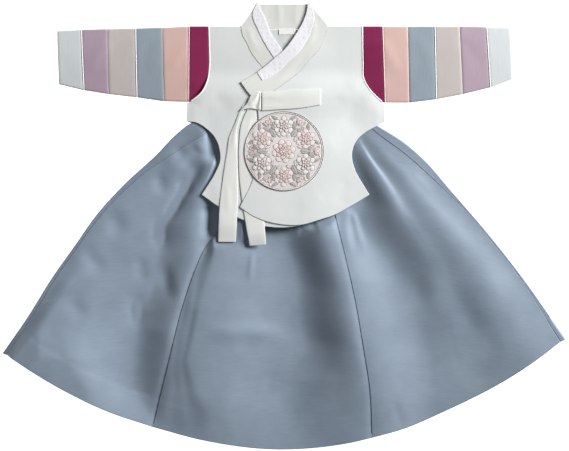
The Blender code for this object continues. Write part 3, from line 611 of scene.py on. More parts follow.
# ---- Ribbon and patch -----------------------------------------------------
TAIL_OUTER_LEFT = [(-64, 183), (-68, 175), (-78, 150), (-83, 139), (-88, 110), (-93, 77),
                   (-98, 38), (-101, -25)]
TAIL_OUTER_RIGHT = [(-56, 186), (-62, 176), (-71.5, 152), (-72, 121), (-71, 60), (-72, 11),
                    (-74, -25)]
TAIL_INNER_LEFT = [(-53, 184), (-60, 170), (-67, 150), (-69, 130), (-69, 77), (-65, 40),
                   (-60, 9), (-53, -31)]
TAIL_INNER_RIGHT = [(-43.5, 183), (-42, 160), (-42, 130), (-42, 77), (-37, 40), (-31, 8),
                    (-28, -29)]
KNOT_LEFT = [(-41, 204), (-51, 198), (-57, 186), (-68, 175)]
KNOT_RIGHT = [(-36, 204), (-36, 176)]
KNOT_BOTTOM = (-56, 178)
LOOP_TOP = [(-34, 203), (8, 206), (54, 209)]
LOOP_BOTTOM = [(-34, 175), (-5, 177), (24, 179), (54, 184)]
MEDALLION_CENTRE = (-1, 113)
MEDALLION_RADIUS = 61
PATCH_GAP = 0.08
# How far left of the middle the patch starts to hang past the outer front's edge, where it is
# down, and how far.
PATCH_OVERHANG = (43.0, 55.0)
PATCH_DROP = 1.0

# ---- Skirt outlines -------------------------------------------------------
SKIRT_EDGE_RIGHT = [(-126, 163), (-146, 155), (-166, 139), (-195, 109), (-243, 65), (-287, 17),
                    (-321, -31), (-355, -79), (-393, -140), (-431, -195)]
SKIRT_EDGE_LEFT = [(126, 163), (144, 152), (185, 126), (216, 99), (254, 55), (305, -4),
                   (356, -68), (431, -174)]
SIDE_LINE_RIGHT = [(-104, 163), (-118, 143), (-152, 122), (-180, 103), (-203, 88), (-238, 60),
                   (-282, 14), (-317, -33), (-350, -81), (-388, -142), (-423, -198)]
SIDE_LINE_LEFT = [(118, 163), (133, 148), (185, 108), (237, 61), (289, 10), (314, -21),
                  (352, -69), (422, -178)]
FRONT_SEAM_RIGHT = [(-60, 163), (-72, 70), (-103, -12), (-121, -34), (-137, -70), (-154, -120),
                    (-176, -206), (-201, -307)]
FRONT_SEAM_LEFT = [(52, 163), (60, 85), (79, 8), (94, -54), (108, -118), (121, -194), (129, -245),
                   (133, -323)]
HEM_RIGHT = [(-423, -198), (-332, -253), (-263, -286), (-201, -307)]
HEM_CENTRE = [(-201, -307), (-129, -326), (8, -342), (100, -331), (133, -323)]
HEM_LEFT = [(133, -323), (185, -309), (254, -280), (322, -246), (390, -202), (422, -178)]
HEM_BACK_RIGHT = [(0, -337), (-129, -322), (-203, -302), (-263, -282), (-332, -249), (-427, -193)]
HEM_BACK_LEFT = [(0, -337), (100, -327), (185, -304), (254, -275), (322, -241), (427, -172)]
WAIST_Y = 163
WAISTBAND_HALF_WIDTH = 112
WAISTBAND_TOP_Y = 182

# Height that the front of the skirt stands off its back, by distance below the waist.
CROWN = [(0, 0.5), (60, 4.0), (150, 8.0), (250, 11.0), (380, 8.5), (510, 5.0)]
# The same for the crests of its folds, clear of the jacket.
FOLD_RISE = [(0, 3.0), (60, 7.0), (150, 10.0), (250, 11.5), (380, 9.0), (510, 5.5)]
SIDE_ROUNDING = 75
# Widths over which the folds rise from the skirt's right and left sides.
FOLD_ROUNDING = (30.0, 88.0)
# How far from what lies on the skirt its folds start, and how far off they are whole.
CLEAR_OF_JACKET = (2.0, 22.0)
# How far above the crown a crest may stand there.
FOLD_ROOM = 9.0
# The least air between the skirt's layers.
LEAST_AIR = 0.3


# ---- Heights ---------------------------------------------------------------
def outline(*lines: Sequence[Point], per_span: int = 4) -> np.ndarray:
    """A closed outline along curves that follow each other."""
    return np.vstack([smooth(line, per_span) for line in lines])


JACKET_BACK_OUTLINE = outline(ARMHOLE_RIGHT, CUTOUT_RIGHT, HEM_BACK, CUTOUT_LEFT[::-1], ARMHOLE_LEFT[::-1])
SKIRT_TOP_OUTLINE = np.vstack([
    outline(SKIRT_EDGE_RIGHT, SKIRT_EDGE_LEFT[::-1]),
    [(WAISTBAND_HALF_WIDTH, WAIST_Y), (WAISTBAND_HALF_WIDTH, WAISTBAND_TOP_Y),
     (-WAISTBAND_HALF_WIDTH, WAISTBAND_TOP_Y), (-WAISTBAND_HALF_WIDTH, WAIST_Y)]])
INNER_FRONT_OUTLINE = outline(ARMHOLE_RIGHT, CUTOUT_RIGHT, HEM_INNER_FRONT, HIDDEN_FRONT_EDGE[::-1],
                              COLLAR_INNER_RIM["beside"][::-1], COLLAR_INNER_SEAM[:1])
# The outer front's hem is cut where it leaves the inner front's.
JACKET_OUTLINE = np.vstack([
    outline(ARMHOLE_RIGHT, CUTOUT_RIGHT, HEM_INNER_FRONT), smooth(HEM_OUTER_FRONT, 4)[12:],
    outline(CUTOUT_LEFT[::-1], ARMHOLE_LEFT[::-1])])
TAILS_OUTLINES = [outline(TAIL_OUTER_LEFT, TAIL_OUTER_RIGHT[::-1], per_span=3),
                  outline(TAIL_INNER_LEFT, TAIL_INNER_RIGHT[::-1], per_span=3)]
ON_SKIRT = [JACKET_OUTLINE, *TAILS_OUTLINES]


@dataclass(frozen=True)
class FoldLine:
    """The crest of a fold of the skirt or the bottom between two folds.

    Attributes:
        line: Points that it follows, from the waist to the hem.
        shares: Its heights from the top to the bottom, as shares of the skirt's crown.
    """

    line: Sequence[Point]
    shares: tuple[float, ...]

    def at(self, y: np.ndarray) -> tuple[np.ndarray, np.ndarray]:
        """Its place and its height at each y."""
        x_places, y_places = np.array(self.line, float).T
        downs = np.linspace(-y_places[0], -y_places[-1], len(self.shares))
        return np.interp(-y, -y_places, x_places), np.interp(-y, downs, self.shares)


# Crests and the bottoms between them by turns, from the wearer's right.
SKIRT_FOLDS = [
    FoldLine([(-205, 133), (-244, 104), (-281, 62), (-312, 19), (-338, -22), (-350, -56), (-355, -99),
              (-352, -144), (-340, -182), (-327, -221), (-306, -250)],
             (0.3, 0.3, 0.3, 0.25, 0.3, 0.6, 1.1, 1.7, 1.6)),
    FoldLine([(-158, 104), (-163, 76), (-168, 46), (-176, 23), (-190, 1), (-194, -30), (-201, -83),
              (-206, -106), (-222, -129), (-228, -160), (-234, -221), (-229, -251), (-203, -304)],
             (0.1, 0.0, 0.0, 0.0, 0.0, 0.05, 0.05, 0.1, 1.0)),
    FoldLine([(-103, 69), (-130, 39), (-142, 1), (-137, -38), (-141, -70), (-150, -100), (-155, -130),
              (-167, -160), (-165, -190), (-170, -221), (-170, -251), (-175, -275), (-180, -304)],
             (0.95, 0.7, 0.7, 0.95, 1.25, 1.35, 1.5, 1.45, 1.1)),
    FoldLine([(-94, 69), (-110, 39), (-113, 1), (-120, -38), (-134, -70), (-140, -114), (-146, -160),
              (-158, -205), (-153, -251), (-145, -304)],
             (0.8, 0.5, 0.55, 1.0, 1.4, 1.5, 1.6, 1.6, 1.3)),
    FoldLine([(-86, 69), (-99, 39), (-99, -1), (-108, -53), (-125, -114), (-136, -160), (-146, -205),
              (-134, -251), (-110, -290), (-112, -327)],
             (0.85, 0.95, 1.1, 1.3, 1.6, 1.7, 1.8, 1.8, 1.4)),
    FoldLine([(-16, 69), (-8, 16), (-2, -10), (2, -30), (14, -60), (20, -91), (18, -114), (21, -144),
              (30, -175), (25, -202), (6, -236), (12, -282), (20, -327)],
             (0.4, 0.1, 0.0, 0.0, 0.0, 0.0, 0.0, 0.15, 0.3)),
    FoldLine([(44, 39), (52, 5), (64, -22), (74, -53), (86, -83), (92, -114), (98, -144), (106, -175),
              (117, -205), (123, -236), (132, -266), (133, -312)],
             (1.3, 1.4, 1.4, 1.5, 1.6, 1.65, 1.75, 1.75, 1.7)),
    FoldLine([(85, 161), (96, 115), (106, 84), (115, 58), (118, 31), (117, 16), (122, 1), (137, -22),
              (162, -53), (180, -83), (191, -114), (203, -144), (215, -175), (226, -205), (230, -236),
              (240, -274)],
             (0.0, 0.0, 0.0, 0.0, 0.0, 0.0, 0.0, 0.0, 0.1)),
    FoldLine([(102, 153), (110, 133), (127, 105), (141, 84), (158, 56), (166, 39), (179, 16), (205, -22),
              (227, -56), (236, -91), (241, -121), (250, -160), (262, -205), (269, -251)],
             (0.6, 1.0, 1.18, 0.9, 0.6, 0.35, 0.15, 0.05, 0.05)),
    FoldLine([(110, 153), (117, 133), (132, 103), (156, 75), (175, 48), (190, 20), (211, -15), (232, -45),
              (246, -76), (250, -106), (257, -144), (269, -190), (280, -236)],
             (0.3, 0.6, 0.95, 0.95, 0.65, 0.4, 0.2, 0.1, 0.05)),
    FoldLine([(121, 153), (135, 133), (164, 103), (190, 77), (209, 54), (230, 30), (264, -1), (306, -38),
              (343, -76), (368, -114), (384, -152), (394, -190), (397, -221)],
             (1.6, 1.7, 1.75, 1.75, 1.65, 1.5, 1.25, 0.8, 0.5)),
]
SKIRT_CREASES = [
    Crease([(-48, -36), (-51, -60), (-54, -89)], 0.9, (3.5, 5)),
    Crease([(104, 22), (111, -7), (123, -48)], 1.3, (4, 9), (0.1, 0.5)),
    Crease([(113, 133), (130, 100), (146, 78), (166, 51)], 0.35, (4, 9), (0.1, 0.5)),
    Crease([(193, 83), (213, 65), (231, 48)], 0.9, (4, 8)),
    Crease([(-124, 118), (-139, 101), (-152, 82)], -1.4, (9, 12)),
    Crease([(-185, -50), (-179, -86), (-171, -126)], -2.0, (10, 11), (0.45, 0.45)),
    Crease([(-192, 24), (-190, -10), (-187, -46)], -2.2, (11, 11), (0.45, 0.45)),
    Crease([(-228, -96), (-227, -130), (-226, -166)], -1.7, (12, 12), (0.45, 0.45)),
    Crease([(190, -58), (204, -100), (218, -148)], -1.2, (15, 17), (0.5, 0.5)),
    Crease([(254, -84), (278, -136), (300, -198)], -1.1, (15, 17), (0.5, 0.5)),
    Crease([(-116, 136), (-128, 126), (-140, 117)], 1.0, (8, 10)),
    Crease([(-128, -164), (-60, -161), (10, -164)], 2.6, (12, 14), (0.35, 0.35)),
    Crease([(4, -200), (60, -201), (118, -200)], 0.8, (12, 12), (0.4, 0.4)),
    Crease([(-196, 84), (-190, 64), (-186, 44)], -1.5, (10, 10), (0.4, 0.4)),
    Crease([(-160, 74), (-152, 57), (-148, 42)], -1.5, (8, 8), (0.4, 0.4)),
    Crease([(-172, 128), (-162, 114), (-155, 98)], -1.5, (9, 9), (0.4, 0.4)),
    Crease([(-222, -44), (-219, -68), (-219, -92)], -1.3, (10, 10), (0.4, 0.4)),
    Crease([(-264, 26), (-257, 2), (-252, -22)], -1.5, (13, 13), (0.4, 0.4)),
    Crease([(-312, -26), (-294, -52), (-274, -80)], -1.6, (12, 12), (0.4, 0.4)),
    Crease([(-332, -108), (-317, -126), (-303, -146)], -1.5, (12, 12), (0.4, 0.4)),
    Crease([(-184, 106), (-168, 92), (-152, 78)], 1.4, (15, 15), (0.4, 0.4)),
    Crease([(-70, -215), (-84, -250), (-92, -285)], 1.0, (16, 20), (0.4, 0.4)),
    Crease([(167, -266), (173, -289), (179, -312)], -0.6, (6, 8)),
    Crease([(-118, 148), (-111, 132), (-109, 112), (-113, 92)], -6.2, (11, 14), (0.35, 0.35)),
    Crease([(-120, 101), (-132, 83), (-147, 61), (-162, 37), (-175, 15), (-184, -10)], -3.3, (9, 8)),
    Crease([(-114, 36), (-112, 16), (-111, -4), (-112, -24)], -6.0, (9, 13), (0.25, 0.3)),
    Crease([(18, 0), (34, -2), (52, 4)], -2.5, (12, 10), (0.3, 0.3)),
]
# Where the skirt fills out beside the hem and the ribbon's tails, up to what the jacket lies on.
BESIDE_HEM = [
    Crease([(-62, 34), (-61, 5), (-57, -30)], 4.0, (15, 13), (0.2, 0.4)),
    Crease([(96, 28), (95, 2), (97, -26), (103, -56)], 1.6, (9, 10), (0.1, 0.5)),
]
JACKET_CREASES = [
    Crease([(-112, 204), (-96, 188), (-84, 164)], -0.45, (9, 14)),
    Crease([(116, 218), (98, 200), (82, 186)], 0.45, (9, 14)),
    Crease([(110, 190), (101, 168), (97, 146)], -0.4, (9, 13)),
    Crease([(-106, 292), (-98, 262), (-92, 236)], 0.4, (12, 15)),
    Crease([(108, 296), (98, 262), (92, 230)], 0.35, (12, 16)),
    Crease([(72, 150), (86, 120), (92, 88)], -0.25, (12, 16)),
    Crease([(60, 46), (40, 34), (16, 28)], 0.35, (9, 14)),
    Crease([(96, 72), (86, 48), (80, 28)], -0.35, (8, 12)),
    Crease([(-110, 70), (-100, 50), (-92, 30)], 0.3, (8, 11)),
]
# How far the air inside the jacket lifts its chest, and half its width.
CHEST_CROWN = 1.3
CHEST_HALF_WIDTH = 116.0


def skirt_bed(x: np.ndarray, y: np.ndarray) -> np.ndarray:
    """Height that the back of the skirt lies at: on the jacket's back, then on the surface."""
    return (JACKET_WALL + GAP) * cover(x, y, JACKET_BACK_OUTLINE, OFF_JACKET_BACK)


def skirt_crown(x: np.ndarray, y: np.ndarray) -> np.ndarray:
    """How far the ridges of the skirt's front stand above its flat layers."""
    rise = np.interp(WAIST_Y - y, *zip(*CROWN))
    return rise * smoothstep(0, SIDE_ROUNDING, nearest(x, y, SKIRT_EDGE_RIGHT, SKIRT_EDGE_LEFT))


def skirt_ridge_top(x: np.ndarray, y: np.ndarray) -> np.ndarray:
    """Top of the skirt with no troughs in it, which is what the jacket lies on."""
    return skirt_bed(x, y) + 2 * SKIRT_WALL + SKIRT_SLACK + skirt_crown(x, y)


def folded(x: np.ndarray, y: np.ndarray) -> np.ndarray:
    """Height of the skirt's long folds, as a share of its crown."""
    places, shares = zip(*(line.at(y) for line in SKIRT_FOLDS))
    height = shares[0]
    for k in range(len(places) - 1):
        width = np.maximum(places[k + 1] - places[k], 6.0)
        t = smoothstep(0.0, 1.0, (x - places[k]) / width)
        height = np.where(x > places[k], shares[k] + (shares[k + 1] - shares[k]) * t, height)
    return height


def skirt_top(x: np.ndarray, y: np.ndarray) -> np.ndarray:
    """Top of the skirt's front, with its folds and creases."""
    clear = smoothstep(*CLEAR_OF_JACKET, np.min([outside(x, y, one) for one in ON_SKIRT], axis=0))
    rise = np.interp(WAIST_Y - y, *zip(*FOLD_RISE))
    for side, reach in zip((SKIRT_EDGE_RIGHT, SKIRT_EDGE_LEFT), FOLD_ROUNDING):
        rise = rise * smoothstep(0.0, reach, nearest(x, y, side))
    folds = rise * folded(x, y) + creased(BESIDE_HEM, x, y)
    uneven = 0.35 * swell(x, y, (44, 62), 3) + 0.15 * swell(x, y, (21, 30), 8)
    relief = creased(SKIRT_CREASES, x, y) + uneven
    relief = np.minimum(relief, relief * clear) * below(y, 170.0, 130.0) * smoothstep(0.0, 5.0, rise)
    top = np.minimum(folds, skirt_crown(x, y) + FOLD_ROOM * clear) + relief
    return skirt_bed(x, y) + 2 * SKIRT_WALL + np.maximum(SKIRT_SLACK + top, LEAST_AIR)


def front_bed(x: np.ndarray, y: np.ndarray) -> np.ndarray:
    """Underside of the jacket's inner front: on its back, then over the skirt."""
    on_back = JACKET_WALL + GAP
    slack = JACKET_SLACK * below(y, 175, 115)
    over_skirt = skirt_ridge_top(x, y) + GAP + slack
    base = on_back + (over_skirt - on_back) * cover(x, y, SKIRT_TOP_OUTLINE, OFF_SKIRT)
    relief = creased(JACKET_CREASES, x, y) + 0.16 * swell(x, y, (38, 46), 5)
    across = 1.0 - np.clip(np.abs(x) / CHEST_HALF_WIDTH, 0.0, 1.0) ** 2
    chest = CHEST_CROWN * across * below(y, 306.0, 262.0)
    return base + (relief + 0.5) * smoothstep(1.5, 4.0, base) + chest


def outer_bed(x: np.ndarray, y: np.ndarray) -> np.ndarray:
    """Underside of the outer front, over the inner front and the ribbon's inner tail."""
    lap = JACKET_WALL + RIBBON_WALL + 2 * GAP
    return front_bed(x, y) + lap * cover(x, y, INNER_FRONT_OUTLINE, OFF_INNER_FRONT)


def ribbon_bed(x: np.ndarray, y: np.ndarray) -> np.ndarray:
    """Underside of the ribbon's tails, on the inner front and below it on the skirt."""
    on_skirt = 0.7 * skirt_ridge_top(x, y) + 0.3 * skirt_top(x, y) + GAP
    on_front = front_bed(x, y) + JACKET_WALL + GAP
    return on_skirt + (on_front - on_skirt) * cover(x, y, INNER_FRONT_OUTLINE, OFF_JACKET_HEM)


def turned(cloth: Cloth, name: str, turn: float, tone: float = 1.0) -> Cloth:
    """A finish with its threads turned to a piece's grain, its colours scaled by a tone: painted sheen,
    lighter or darker for how the light falls across that grain.
    """
    colour, shade = (tuple(part * tone for part in one) for one in (cloth.colour, cloth.shade))
    return replace(cloth, name=f"{name}_cloth", turn=turn, colour=colour, shade=shade)


# ---- Shells ----------------------------------------------------------------
@dataclass(frozen=True)
class Cut:
    """Flat size of a cloth piece, in metres and square metres."""

    width: float
    length: float
    area: float

    @staticmethod
    def of(grid: np.ndarray) -> "Cut":
        """Measure a piece's grid of points in millimetres, along its rows and columns."""
        width = np.linalg.norm(np.diff(grid, axis=1), axis=2).sum(axis=1).max()
        length = np.linalg.norm(np.diff(grid, axis=0), axis=2).sum(axis=0).max()
        flat = grid if grid.shape[2] == 3 else np.dstack([grid, np.zeros(grid.shape[:2])])
        one = np.cross(flat[1:, :-1] - flat[:-1, :-1], flat[:-1, 1:] - flat[:-1, :-1])
        two = np.cross(flat[1:, :-1] - flat[1:, 1:], flat[:-1, 1:] - flat[1:, 1:])
        area = (np.linalg.norm(one, axis=2).sum() + np.linalg.norm(two, axis=2).sum()) / 2
        width, length = max(width, LEAST_SIDE), max(length, LEAST_SIDE)
        return Cut(width * MM, length * MM, min(area, 0.999 * width * length) * MM * MM)


def with_height(grid: np.ndarray, height: float | np.ndarray) -> np.ndarray:
    """The grid's points lifted to a height, a number or an array."""
    return np.dstack([grid, np.broadcast_to(height, grid.shape[:2])])


def make_mesh(name: str, points: np.ndarray, faces: list[tuple[int, ...]], cloth: Cloth,
              angle: float = 60.0) -> bpy.types.Object:
    """Make a smooth object from points in millimetres, facing out.

    Args:
        name: The object's name.
        points: Its points.
        faces: Its faces, as indices of points.
        cloth: Its finish.
        angle: Edges sharper than this stay sharp, in degrees.

    Returns:
        The object, at the origin, riding on the root.
    """
    mesh = bpy.data.meshes.new(name)
    mesh.from_pydata((np.asarray(points) * MM).tolist(), [], faces)
    made = bpy.data.objects.new(name, mesh)
    bpy.context.scene.collection.objects.link(made)
    mesh.materials.append(cloth.material())
    bpy.ops.object.select_all(action="DESELECT")
    made.select_set(True)
    bpy.context.view_layer.objects.active = made
    bpy.ops.object.mode_set(mode="EDIT")
    bpy.ops.mesh.select_all(action="SELECT")
    bpy.ops.mesh.normals_make_consistent(inside=False)
    bpy.ops.object.mode_set(mode="OBJECT")
    bpy.ops.object.shade_smooth_by_angle(angle=math.radians(angle))
    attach(made, "root")
    return made


def quads(at: np.ndarray) -> list[tuple[int, ...]]:
    """Faces between the rows and columns of a grid of point numbers."""
    corners = at[:-1, :-1], at[1:, :-1], at[1:, 1:], at[:-1, 1:]
    return list(zip(*(corner.ravel().tolist() for corner in corners)))


def shell(name: str, outer: np.ndarray, inner: np.ndarray, cloth: Cloth,
          ring: bool = False) -> bpy.types.Object:
    """A closed wall of cloth between two matching grids of points.

    Args:
        name: The object's name.
        outer: Points of its outer side, as rows and columns.
        inner: Points of its inner side.
        cloth: Its finish.
        ring: Whether its last column joins its first.

    Returns:
        The object, its rim drawn together into a soft edge.
    """
    outer, inner = outer.copy(), inner.copy()
    rows, columns = outer.shape[:2]
    rim = np.zeros((rows, columns), bool)
    rim[[0, -1]] = True
    if not ring:
        rim[:, [0, -1]] = True
    middle = (outer + inner) / 2
    for side in (outer, inner):
        side[rim] = middle[rim] + (side[rim] - middle[rim]) * RIM_SHARE
    at = np.arange(2 * rows * columns).reshape(2, rows, columns)
    top, under = np.concatenate([at, at[:, :, :1]], axis=2) if ring else at
    faces = (quads(top) + quads(under[:, ::-1]) + quads(np.stack([under[0], top[0]]))
             + quads(np.stack([top[-1], under[-1]])))
    if not ring:
        faces += quads(np.stack([under[:, 0], top[:, 0]], axis=1))
        faces += quads(np.stack([top[:, -1], under[:, -1]], axis=1))
    return make_mesh(name, np.vstack([outer.reshape(-1, 3), inner.reshape(-1, 3)]), faces, cloth)


def laid(name: str, grid: np.ndarray, bed: Bed | float | np.ndarray, thickness: float, cloth: Cloth,
         nodes: Sequence[str] = (),
         trims: Sequence[bpy.types.Object] = ()) -> bpy.types.Object:
    """A panel of cloth lying on a bed, declared as a sheet that stands for its solid.

    Args:
        name: The object's name.
        grid: Its points from above.
        bed: Height of its underside.
        thickness: Its thickness.
        cloth: Its finish.
        nodes: The solids that it replaces.
        trims: Pieces that are sewn on it; not used.

    Returns:
        The object.
    """
    low = bed(grid[..., 0], grid[..., 1]) if callable(bed) else bed
    made = shell(name, with_height(grid, low + thickness), with_height(grid, low), cloth)
    declare(made, Cut.of(grid), nodes)
    return made


def declare(made: bpy.types.Object, cut: Cut, nodes: Sequence[str]) -> None:
    """Hide the solids that a sheet replaces, and log its cut."""
    if nodes:
        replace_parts(made, *nodes)
    log.info("%s: %.0f x %.0f mm, %.4f square metres", made.name, cut.width / MM, cut.length / MM, cut.area)


def tube(path: np.ndarray, radius: float, sides: int, squash: float = 1.0,
         flank: Sequence[float] | None = None) -> tuple[np.ndarray, list[tuple[int, ...]]]:
    """Points and faces of a cord or thread round a line in millimetres.

    Args:
        path: Its centreline, as (x, y, z).
        radius: Its half-width.
        sides: Sides of its section.
        squash: Its height over its width.
        flank: For a ring that closes on itself, the direction across it.

    Returns:
        Its points, and its faces as indices of points.
    """
    closed = flank is not None
    ahead = np.roll(path, -1, axis=0) - np.roll(path, 1, axis=0) if closed else np.gradient(path, axis=0)
    side = np.full(path.shape, flank) if closed else ahead[:, [1, 0, 0]] * (1, -1, 0)
    up = np.cross(side, ahead)
    side, up = (unit(way)[:, None] for way in (side, up))
    turns = np.linspace(0.0, 2 * math.pi, sides, endpoint=False)[None, :, None]
    rings = path[:, None] + radius * (np.cos(turns) * side + squash * np.sin(turns) * up)
    at = np.arange(len(path) * sides).reshape(-1, sides)
    caps = [] if closed else [tuple(at[0, ::-1].tolist()), tuple(at[-1].tolist())]
    at = np.pad(at, ((0, int(closed)), (0, 1)), mode="wrap")
    return rings.reshape(-1, 3), quads(at[:, ::-1]) + caps


# ---- Skirt -----------------------------------------------------------------
@dataclass
class Chima:
    """The skirt: three front panels, two back panels that fold over the sides, a waistband.

    Attributes:
        rows: Rows of a panel, from the waist to the hem.
        seam_room: Half the space between two panels at a seam.
        fold_angles: Places round the side fold, in degrees.
        seam_step: How much lower one panel lies than the other beside a front seam.
        seam_dent: Depth to which stitches draw the satin in.
        hem_depth: Depth of the turned-up hem.
        hem_rise: How much higher the satin lies over it.
        back_columns: Columns of a back panel, from its middle to its fold.
        back_turns: Places across what is turned over the fold, as shares.
        back_creases: Folds of the back.
    """

    rows: int = 126
    seam_room: float = 0.1
    fold_angles: tuple[float, ...] = (-84, -60, -36, -12, 12, 36, 60, 84)
    seam_step: float = 0.65
    seam_dent: float = 0.16
    hem_depth: float = 42.0
    hem_rise: float = 0.22
    back_columns: int = 72
    back_turns: tuple[float, ...] = (0.0, 0.3, 0.6, 0.85, 0.95, 1.0)
    back_creases: tuple[Crease, ...] = (
        Crease([(-60, 90), (-110, -20), (-150, -180)], 1.2, (10, 22)),
        Crease([(70, 80), (120, -40), (160, -200)], 1.2, (10, 22)),
        Crease([(-150, 40), (-240, -60), (-310, -170)], 1.0, (12, 24)),
        Crease([(160, 40), (250, -60), (310, -170)], 1.0, (12, 24)),
        Crease([(20, 20), (34, -120), (40, -260)], 0.9, (10, 20)))

    def build(self) -> None:
        """Make every piece of the skirt."""
        self.back("chima_back_right", SKIRT_EDGE_RIGHT, SIDE_LINE_RIGHT, HEM_BACK_RIGHT, -1)
        self.back("chima_back_left", SKIRT_EDGE_LEFT, SIDE_LINE_LEFT, HEM_BACK_LEFT, 1)
        self.fronts()
        self.waistband()

    def sewn_top(self, x: np.ndarray, y: np.ndarray, lower: Sequence[Point] = ()) -> np.ndarray:
        """Top of the front, its hem turned up, its seams drawn in and pressed to one side.

        Args:
            x: Places across.
            y: Places along.
            lower: The seam at which this panel lies lower than its neighbour.

        Returns:
            The height at each place.
        """
        top = skirt_top(x, y)
        for line in (FRONT_SEAM_RIGHT, FRONT_SEAM_LEFT, SIDE_LINE_RIGHT, SIDE_LINE_LEFT):
            distance, place = line_distance(x, y, smooth(line, 5))
            pucker = 1.0 + 0.35 * np.sin(place * 210.0)
            step = self.seam_step if line is lower else 0.0
            top = top - step * bell(distance, 5.0) - self.seam_dent * pucker * bell(distance, 7.0)
        to_hem = nearest(x, y, HEM_RIGHT, HEM_CENTRE, HEM_LEFT)
        turned_up = 1.0 - smoothstep(self.hem_depth - 1.5, self.hem_depth + 1.0, to_hem)
        return top + self.hem_rise * turned_up - self.seam_dent * bell(to_hem - self.hem_depth, 1.6)

    def fronts(self) -> None:
        """The three front panels, seamed from the waist to the hem."""
        rows = self.rows
        seams = {"side_right": edge((SIDE_LINE_RIGHT, rows)), "right": edge((FRONT_SEAM_RIGHT, rows)),
                 "left": edge((FRONT_SEAM_LEFT, rows)), "side_left": edge((SIDE_LINE_LEFT, rows))}
        # The last number of each panel scales its satin's colours: painted sheen, the right panel lighter
        # and the left darker for how the light falls on their grain.
        panels = [("chima_front_right", "side_right", "right", HEM_RIGHT, 74, 8.0, 1.17),
                  ("chima_front_centre", "right", "left", HEM_CENTRE, 88, 0.0, 1.0),
                  ("chima_front_left", "left", "side_left", HEM_LEFT, 80, -8.0, 0.95)]
        for name, start, end, hem, columns, turn, tone in panels:
            left, right = moved(seams[start], -self.seam_room), moved(seams[end], self.seam_room)
            grid = panel(left, right, hem, columns)
            lower = {"right": FRONT_SEAM_RIGHT, "left": FRONT_SEAM_LEFT}.get(end, ())
            low = self.sewn_top(grid[..., 0], grid[..., 1], lower) - SKIRT_WALL
            laid(name + "_satin", grid, low, SKIRT_WALL, turned(SATIN, name, turn, tone), [name])

    def back(self, name: str, outline: Sequence[Point], side_line: Sequence[Point],
             hem: Sequence[Point], sign: int) -> None:
        """One back panel: flat, turned up over the side fold and on to the side seam."""
        radius = SKIRT_WALL + SKIRT_SLACK / 2
        fold = moved(edge((outline, self.rows)), sign * radius)
        outward = moved(fold, -sign) - fold
        centre = np.column_stack([np.full(self.rows + 1, sign * self.seam_room),
                                  np.linspace(WAIST_Y, hem[0][1], self.rows + 1)])
        flat = panel(centre, fold, hem, self.back_columns)
        fold, outward = flat[:, -1], np.repeat(outward, [4] + [1] * (self.rows - 1) + [4], axis=0)
        seam = moved(edge((side_line, self.rows)), -sign * self.seam_room)
        seam = close_pair(seam, seam)[0]
        x, y = flat[..., 0], flat[..., 1]
        bed = skirt_bed(x, y)
        inland = smoothstep(4.0, 26.0, line_distance(x, y, fold)[0]) * smoothstep(0.0, 6.0, np.abs(x))
        relief = np.clip(creased(self.back_creases, x, y) + 0.45 * swell(x, y, (50, 60), 11), 0.0, 1.3)
        bed = bed + relief * inland
        outer, inner = [with_height(flat, bed)], [with_height(flat, bed + SKIRT_WALL)]
        for angle in self.fold_angles:
            turn = math.radians(angle)
            for layers, reach in ((outer, radius), (inner, radius - SKIRT_WALL)):
                place = fold + outward * reach * math.cos(turn)
                height = bed[:, -1] + radius + reach * math.sin(turn)
                layers.append(with_height(place[:, None], height[:, None]))
        for share in self.back_turns:
            place = (fold + (seam - fold) * share)[:, None]
            height = self.sewn_top(place[..., 0], place[..., 1])
            outer.append(with_height(place, height))
            inner.append(with_height(place, height - SKIRT_WALL))
        outside_grid, inside_grid = np.concatenate(outer, axis=1), np.concatenate(inner, axis=1)
        made = shell(name + "_satin", outside_grid, inside_grid, turned(SATIN, name, sign * -14.0))
        declare(made, Cut.of(outside_grid), [name])

    def waistband(self) -> None:
        """Plain band at the top of the skirt, inside the jacket."""
        bottom_y, half = WAIST_Y + GAP, WAISTBAND_HALF_WIDTH
        left = between((-half, WAISTBAND_TOP_Y), (-half, bottom_y), 6)
        grid = panel(left, left * (-1, 1), [(-half, bottom_y), (half, bottom_y)], 56)
        gathers = 0.25 * np.sin(grid[..., 0] / 2.3) * below(grid[..., 1], 175.0, 164.0)
        low = JACKET_WALL + GAP
        laid("chima_waistband_back_cotton", grid, low, SKIRT_WALL, LINING, ["chima_waistband_back"])
        laid("chima_waistband_front_cotton", grid, low + SKIRT_WALL + SKIRT_SLACK + gathers, SKIRT_WALL,
             LINING, ["chima_waistband_front"])


